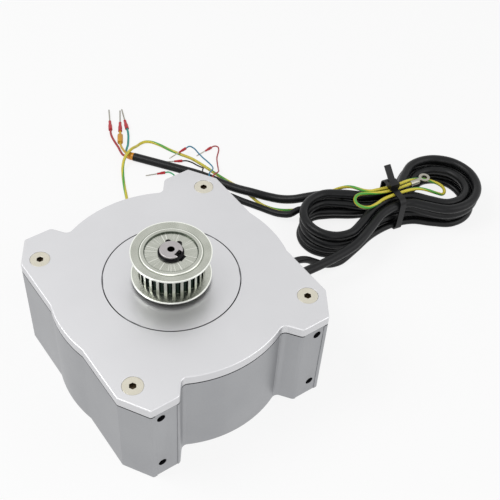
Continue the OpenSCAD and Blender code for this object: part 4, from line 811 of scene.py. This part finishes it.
# %% Plain metals
# Name, light and dark tone, metal or not, patch, grit and relief in millimetres, and range of roughness
finishes = {
    # Ground and polished: narrow bright reflections
    "bearing_steel": finish("ground bearing steel", "#C4C6CA", "#B4B6BA", 1.0, 25, 0.5, 0.01, (0.14, 0.22)),
    # Punched sheets in a stack: a dull grey with rough edges
    "core_steel": finish("stamped electrical steel", "#7C7D81", "#68696D", 1.0, 12, 0.35, 0.02, (0.4, 0.55)),
    # Plated blocks: a soft silver shine
    "magnet": finish("nickel plated magnet", "#A9AAB0", "#98999F", 1.0, 25, 0.5, 0.01, (0.25, 0.35)),
    # Turned and left bare: warm yellow, a little tarnished
    "brass": finish("turned brass", "#C9A860", "#B8964E", 1.0, 8, 0.3, 0.01, (0.25, 0.35)),
    # Dipped in tin: uneven silver with a grey cast
    "tinned_lug": finish("tinned copper", "#B4B1A6", "#98958B", 1.0, 4, 0.3, 0.02, (0.3, 0.45)),
    # Blackened in hot salts: almost black, with the steel's sheen on its edges
    "black_steel": finish("black oxide on steel", "#2A2A2C", "#1A1A1B", 1.0, 3, 0.3, 0.01, (0.3, 0.42)),
}
print("plain metals:", len(finishes))

# %% [markdown]
# ## Blasted aluminium
# Glass beads leave an even satin skin with a grit of about a tenth of a millimetre, drawn here at half a
# millimetre so that it shows. Painted shade darkens the gap round the centre disc, the seam under the plate
# and the tapped holes. Painting these by hand would need a picture, so each is a mask worked out from the
# distance to the axis, the height or the place of the holes.

# %% The plate and its ring line
RING_R = DISC_R - RIM
RING_HALF = 0.4 * MM


def from_axis(tree, where):
    """Distance from the shaft's axis: the length of the place with its height set to zero."""
    flat = add(tree, "VectorMath", {0: where, 1: (1, 1, 0)}, operation="MULTIPLY")["Vector"]
    return add(tree, "VectorMath", {0: flat}, operation="LENGTH")["Value"]


# Finely blasted plate: satin, with soft wide reflections. Its grey, paler than the case's, is painted light
# on the face that looks up
cover, tree, shader, where = begin("fine blasted aluminium", "#D5D5D7", 0.36, 1.0)
tone = grain(tree, shader, where, "#D8D8DA", "#CFCFD1", 45, 0.5, 0.012, (0.36, 0.46))
# The ring line round the centre disc is painted shade in the gap
ring = {0: from_axis(tree, where), 1: RING_R, 2: RING_HALF}
stain(tree, shader, tone, add(tree, "Math", ring, operation="COMPARE")[0], "#6C6C6F")
finishes["cover_aluminium"] = cover
print("plate's finish made, ring line at", round(RING_R / MM, 2), "mm")

# %% The case with its seam and tapped holes
SEAM_BELOW = 0.25 * MM
SEAM_Z = plate_low - SEAM_BELOW
SEAM_HALF = 0.35 * MM
SIDE_HOLE_X = 54 * MM
SIDE_HOLE_MID_Z = 33.75 * MM
SIDE_HOLE_HALF_Z = 23.25 * MM
SIDE_HOLE_REACH = 2.7 * MM
SIDE_HOLE_MID_Y = -67.6 * MM
SIDE_HOLE_HALF_DEPTH = 7.6 * MM

# Cast and blasted, and a little rougher than the plate. Its grey, darker than the plate's, is painted shade on
# the side walls
case, tree, shader, where = begin("blasted cast aluminium", "#ABACAE", 0.4, 1.0)
tone = grain(tree, shader, where, "#AEAFB1", "#9D9EA1", 45, 0.5, 0.012, (0.4, 0.52))
# The seam under the plate is painted shade in its recess
seam = {0: add(tree, "SeparateXYZ", {0: where})["Z"], 1: SEAM_Z, 2: SEAM_HALF}
tone = stain(tree, shader, tone, add(tree, "Math", seam, operation="COMPARE")[0], "#55565A")
# The tapped side holes are painted near black as shade inside them
from_mid = add(tree, "VectorMath", {0: where, 1: (0, 0, SIDE_HOLE_MID_Z)}, operation="SUBTRACT")["Vector"]
folded = add(tree, "VectorMath", {0: from_mid}, operation="ABSOLUTE")["Vector"]
mirrored = add(tree, "SeparateXYZ", {0: folded})
depth = add(tree, "SeparateXYZ", {0: where})["Y"]
mask = add(tree, "Math", {0: mirrored["X"], 1: SIDE_HOLE_X, 2: SIDE_HOLE_REACH}, operation="COMPARE")[0]
for value, middle, reach in ((mirrored["Z"], SIDE_HOLE_HALF_Z, SIDE_HOLE_REACH),
                             (depth, SIDE_HOLE_MID_Y, SIDE_HOLE_HALF_DEPTH)):
    near = add(tree, "Math", {0: value, 1: middle, 2: reach}, operation="COMPARE")[0]
    mask = add(tree, "Math", {0: mask, 1: near}, operation="MULTIPLY")[0]
stain(tree, shader, tone, mask, "#26262A")
finishes["case_aluminium"] = case
print("case's finish made, seam at", round(SEAM_Z / MM, 2), "mm")

# %% [markdown]
# ## Zinc plate on the pulley
# Bright zinc has a faint green cast and a clear shine. The flanges' rims and the lip carry a painted
# highlight, the belt's grooves are darkened by oil and painted shade, the corners of the hub hold painted
# shade, and a few marks run out from the shaft. One colour would look flat, so bands by radius and height
# carry the painted light and shade, which lie in rings on a turned pulley.

# %% Places of the painted highlights and shade
GROOVE_TOP_R = 19.75 * MM
BELT_MID = 83 * MM
BELT_HALF = 7.7 * MM
HUB_FACE = 91.2 * MM
HUB_MARK_R = 12.2 * MM
HUB_MARK_HALF = 3.7 * MM
RIM_BANDS = {
    # Middle and half width of each band, its lowest place, and its colour
    "painted highlight on the flanges' edge": (24.15 * MM, 0.4 * MM, 73 * MM, "#F3F5EE"),
    "painted highlight on the lip": (18.55 * MM, 0.45 * MM, 92.2 * MM, "#F6F7F0"),
    "painted shade where the flange meets the hub": (19.15 * MM, 0.2 * MM, 91.6 * MM, "#7F857A"),
    "painted shade in the corner of the hub": (15.95 * MM, 0.35 * MM, 91.3 * MM, "#5F655C"),
}
# The marks on the hub are the peaks of a noise that runs round it, with this many swings in a radian
MARKS_PER_RADIAN = 11.0
MARK_DETAIL = 4.0
MARK_FROM = 0.57
MARK_FULL = 0.66
MARK_STRENGTH = 0.6
print("bands of painted light and shade:", len(RIM_BANDS))

# %% Zinc plate
# Bright plating over turned steel: silver with a green cast, clear reflections
zinc, tree, shader, where = begin("bright zinc plate", "#C4C8BC", 0.26, 1.0)
tone = grain(tree, shader, where, "#C6C8BF", "#A3A69C", 9, 0.4, 0.008, (0.2, 0.34))
axes = add(tree, "SeparateXYZ", {0: where})
radius = from_axis(tree, where)
deep = add(tree, "Math", {0: radius, 1: GROOVE_TOP_R}, operation="LESS_THAN")[0]
level = add(tree, "Math", {0: axes["Z"], 1: BELT_MID, 2: BELT_HALF}, operation="COMPARE")[0]
groove_oil_and_shade = add(tree, "Math", {0: deep, 1: level}, operation="MULTIPLY")[0]
# Oil and painted shade darken the belt's grooves
tone = stain(tree, shader, tone, groove_oil_and_shade, "#1E2B26")
# Painted highlights on the flanges' edge and the lip, and painted shade in the hub's corners
for middle, half, lowest, colour in RIM_BANDS.values():
    band = add(tree, "Math", {0: radius, 1: middle, 2: half}, operation="COMPARE")[0]
    above = add(tree, "Math", {0: axes["Z"], 1: lowest}, operation="GREATER_THAN")[0]
    tone = stain(tree, shader, tone, add(tree, "Math", {0: band, 1: above}, operation="MULTIPLY")[0], colour)
angle = add(tree, "Math", {0: axes["Y"], 1: axes["X"]}, operation="ARCTAN2")[0]
around = {"W": angle, "Scale": MARKS_PER_RADIAN, "Detail": MARK_DETAIL}
streak = add(tree, "TexNoise", around, noise_dimensions="1D")["Fac"]
peaks = {"Value": streak, "From Min": MARK_FROM, "From Max": MARK_FULL, "To Max": MARK_STRENGTH}
marks = add(tree, "MapRange", peaks)["Result"]
for value, middle, reach in ((radius, HUB_MARK_R, HUB_MARK_HALF), (axes["Z"], HUB_FACE + MM, MM)):
    near = add(tree, "Math", {0: value, 1: middle, 2: reach}, operation="COMPARE")[0]
    marks = add(tree, "Math", {0: marks, 1: near}, operation="MULTIPLY")[0]
stain(tree, shader, tone, marks, "#F4F5EE")
finishes["zinc_steel"] = zinc
print("zinc made")

# %% [markdown]
# ## Cover screws and the shaft
# The screws are plated with warm nickel, and their sockets are painted dark brown as shade. The shaft's end
# is turned, which leaves a grey face, and its centre hole is painted dark as shade. Separate pieces for the
# shade would be fussy, so a height and a radius tell the dark places from the bright ones.

# %% Nickel plate and turned steel
SOCKET_Z = 69.2 * MM
CENTRE_HOLE_R = 2.25 * MM

# Plated heads: warm pale silver
screw, tree, shader, where = begin("nickel plated screw", "#DAD6C8", 0.3, 1.0)
tone = grain(tree, shader, where, "#DAD6C8", "#CBC6B6", 5, 0.4, 0.01, (0.26, 0.38))
height = add(tree, "SeparateXYZ", {0: where})["Z"]
# Painted shade inside the sockets, below the socket height
stain(tree, shader, tone, add(tree, "Math", {0: height, 1: SOCKET_Z}, operation="LESS_THAN")[0], "#4E4436")

# Turned and ground: a plain grey with fine tool marks
shaft, tree, shader, where = begin("turned shaft steel", "#B5B1B2", 0.3, 1.0)
tone = grain(tree, shader, where, "#BDB9BA", "#A5A1A2", 4, 0.3, 0.008, (0.26, 0.4))
# Painted shade in the centre hole
hole = add(tree, "Math", {0: from_axis(tree, where), 1: CENTRE_HOLE_R}, operation="LESS_THAN")[0]
stain(tree, shader, tone, hole, "#1C1A1B")
finishes["shaft_steel"] = shaft
print("screws and shaft made")

# %% [markdown]
# ## Plastics and rubber
# A plastic's colour lies in it, so its shader is not metallic, and its gloss comes from its index of
# refraction, near 1.5. Soft PVC jackets are extruded: their skin is slightly uneven, with a silky sheen. A
# coat over the colour would look lacquered, so a plain shader with a varied roughness is used. The relief is
# drawn coarser than the real one, so that it shows.

# %% Moulded and extruded plastics
# Range of roughness of thin insulation
SILKY = (0.32, 0.44)
finishes.update({
    # Thick extruded jacket: near black with a soft grey sheen, dulled by its matt skin
    "black_pvc": finish("black PVC jacket", "#111214", "#0A0B0C", 0.0, 9, 1.2, 0.05, (0.3, 0.42), 1.53, 0.22),
    # Thin extruded insulation on the cores: even colour, silky
    "red_pvc": finish("red PVC insulation", "#B4343A", "#9C262C", 0.0, 6, 0.5, 0.02, SILKY, 1.53),
    "yellow_pvc": finish("yellow PVC insulation", "#DDBB32", "#C9A524", 0.0, 6, 0.5, 0.02, SILKY, 1.53),
    "teal_pvc": finish("teal PVC insulation", "#2A9D92", "#1F857B", 0.0, 6, 0.5, 0.02, SILKY, 1.53),
    "blue_pvc": finish("blue PVC insulation", "#3E8FB0", "#2F7898", 0.0, 6, 0.5, 0.02, SILKY, 1.53),
    "green_pvc": finish("green PVC insulation", "#2FBF7A", "#249F64", 0.0, 6, 0.5, 0.02, SILKY, 1.53),
    # Soft sleeves pushed over the jacket and a core: waxy orange
    "orange_sleeve": finish("soft PVC sleeve", "#EDA22C", "#DB8C1C", 0.0, 3, 0.4, 0.04, (0.35, 0.5), 1.53),
    "marker_pvc": finish("soft marker tube", "#E2A83A", "#CC9026", 0.0, 3, 0.4, 0.03, (0.4, 0.5), 1.53),
    # Moulded collars: deep red and glossy
    "ferrule_red": finish("polypropylene collar", "#CB2631", "#AE1A26", 0.0, 4, 0.4, 0.01, (0.22, 0.34),
                          1.49),
    # Moulded band: black with a dull shine
    "tie_nylon": finish("black nylon tie", "#101012", "#0A0A0B", 0.0, 6, 0.4, 0.02, (0.3, 0.42), 1.53, 0.25),
    # Moulded bobbins: milky, slightly translucent nylon
    "bobbin_nylon": finish("natural nylon", "#DEDACD", "#D2CDBE", 0.0, 10, 0.6, 0.02, (0.35, 0.45), 1.53),
    # Printed lacquer on glass cloth: glossy dark green
    "board_green": finish("solder resist", "#1F5A38", "#184A2D", 0.0, 6, 0.4, 0.01, (0.25, 0.35), 1.55),
    # Transfer moulded packages: matt black
    "black_epoxy": finish("moulded epoxy", "#1C1C1E", "#161618", 0.0, 3, 0.3, 0.02, (0.45, 0.55), 1.55),
    # Moulded rubber outlets and seal: black and matt
    "black_rubber": finish("moulded rubber", "#1D1D1F", "#151517", 0.0, 5, 0.4, 0.03, (0.55, 0.7), 1.52),
    # Lacquered wire, wound: red-brown with a clear gloss and a ridge at each turn
    "copper_winding": finish("enamelled copper", "#B5652F", "#96501F", 0.0, 5, 0.9, 0.25, (0.2, 0.3), 1.6),
})
print("finishes so far:", len(finishes))

# %% [markdown]
# ## The earth wire
# Earth insulation is yellow with a green stripe that turns slowly round the wire as it is extruded. A stripe
# in the piece's own coordinates would cut across the wire at its bends. So it reads the skin that the tube
# carries: the angle round the wire, turned by the distance along it.

# %% The earth wire's stripe
STRIPE_PITCH = 60 * MM
# The stripe's soft edge lies where the cosine of the angle goes from one value to the other
STRIPE_EDGE_FROM = 0.64
STRIPE_EDGE_TO = 0.7

# Soft two-coloured insulation: yellow and green, silky
earth, tree, shader, where = begin("yellow and green PVC", "#D9CB3C", 0.4, 0.0, 1.53)
tone = grain(tree, shader, where, "#DDD045", "#CDBE32", 8, 0.5, 0.02, (0.34, 0.46))
skin = add(tree, "SeparateXYZ", {0: add(tree, "Attribute", {}, attribute_name="skin")["Vector"]})
angle = add(tree, "Math", {0: skin["Y"], 1: skin["X"]}, operation="ARCTAN2")[0]
twist = add(tree, "Math", {0: skin["Z"], 1: 2 * np.pi / STRIPE_PITCH, 2: angle}, operation="MULTIPLY_ADD")[0]
wave = add(tree, "Math", {0: twist}, operation="COSINE")[0]
stripe_edge = {"Value": wave, "From Min": STRIPE_EDGE_FROM, "From Max": STRIPE_EDGE_TO}
stripe = add(tree, "MapRange", stripe_edge)["Result"]
stain(tree, shader, tone, stripe, "#4FA83C")
finishes["earth_pvc"] = earth
print("earth wire made")

# %% [markdown]
# ## Finishes on pieces
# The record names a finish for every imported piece, so one loop gives each its own, seen or unseen. The new
# pieces keep the finish of what they stand for. They could be given out name by name, but the record already
# says which piece has which. The four cover screws have a warmer plate than the zinc pieces.

# %% Give every piece its finish
for node, obj in nodes.items():
    obj.data.materials.clear()
    obj.data.materials.append(finishes[node_slots[node]])
for obj, slot in slots.items():
    obj.data.materials.clear()
    obj.data.materials.append(finishes[slot])
finished["cover_screws"].data.materials[0] = screw
print("finishes:", len(finishes), "unused:", set(finishes) - set(node_slots.values()))

# %% [markdown]
# ## Floor and light
# The motor lies on a plain pale floor under large soft lamps. The background is white because rays from the
# camera, and those that a metal or a glass reflects, see a white world, while the light that the world gives
# stays low.

# %% White for the rays that see the background
def seen_directly(tree):
    """1 for rays from the camera and for those that were reflected or let through, and 0 for the rest."""
    ray = add(tree, "LightPath", {})
    seen = add(tree, "Math", {0: ray["Is Camera Ray"], 1: ray["Is Glossy Ray"]}, operation="MAXIMUM")[0]
    return add(tree, "Math", {0: seen, 1: ray["Is Transmission Ray"]}, operation="MAXIMUM")[0]


WORLD_LIGHT = 0.45
world = bpy.data.worlds.new("studio")
bpy.context.scene.world = world
world.use_nodes = True
sky = world.node_tree
background = sky.nodes["Background"]
background.inputs["Color"].default_value = linear("#FFFFFF")
glow = {0: seen_directly(sky), 1: 1 - WORLD_LIGHT, 2: WORLD_LIGHT}
sky.links.new(add(sky, "Math", glow, operation="MULTIPLY_ADD")[0], background.inputs["Strength"])
bpy.context.scene.view_settings.view_transform = "Standard"
print("world made")

# %% Floor
FLOOR_HALF = 12.0
FLOOR_Z = -0.2 * MM
FLOOR_WHITE = 0.85
floor_points = [(x * FLOOR_HALF, y * FLOOR_HALF, FLOOR_Z) for x, y in [(-1, -1), (1, -1), (1, 1), (-1, 1)]]
floor_mesh = bpy.data.meshes.new("floor")
floor_mesh.from_pydata(floor_points, [], [(0, 1, 2, 3)])
floor = bpy.data.objects.new("floor", floor_mesh)
bpy.context.scene.collection.objects.link(floor)
# Matt paper, shown nearly white to the camera so that only the shadow tells it from the background
paper, tree, shader, where = begin("matt white paper", "#F2F2F2", 0.9, 0.0)
white = add(tree, "Emission", {"Color": linear("#FFFFFF")})["Emission"]
shown = add(tree, "Math", {0: seen_directly(tree), 1: FLOOR_WHITE}, operation="MULTIPLY")[0]
both = add(tree, "MixShader", {0: shown, 1: shader.outputs["BSDF"], 2: white})[0]
tree.links.new(both, tree.nodes["Material Output"].inputs["Surface"])
floor.data.materials.append(paper)
print("floor made")

# %% [markdown]
# ## Lamps
# A studio lights such a part through wide cloth boxes, which give soft shadows and broad reflections. Small
# lamps would leave hard spots on the metal, so three large square ones stand round it. The strongest is
# behind and to the left, so that the pulley's shadow falls towards the front right.

# %% Three lamps
AIM = (40 * MM, 30 * MM, 40 * MM)
LAMPS = {
    # Place and edge in metres, and power in watts
    "key": ((-0.55, 0.35, 0.95), 0.6, 5.0),
    "fill": ((0.7, -0.75, 0.7), 0.9, 3.0),
    "front": ((-0.7, -0.8, 0.45), 0.8, 2.0),
}


def lamp(name, place, aim, size, power):
    """A square area lamp that faces a point."""
    light = bpy.data.lights.new(name, "AREA")
    light.size = size
    light.energy = power
    obj = bpy.data.objects.new(name, light)
    obj.location = place
    obj.rotation_euler = (Vector(aim) - Vector(place)).to_track_quat("-Z", "Y").to_euler()
    bpy.context.scene.collection.objects.link(obj)


for name, (place, size, power) in LAMPS.items():
    lamp(name, place, AIM, size, power)
print("lamps:", len(LAMPS))
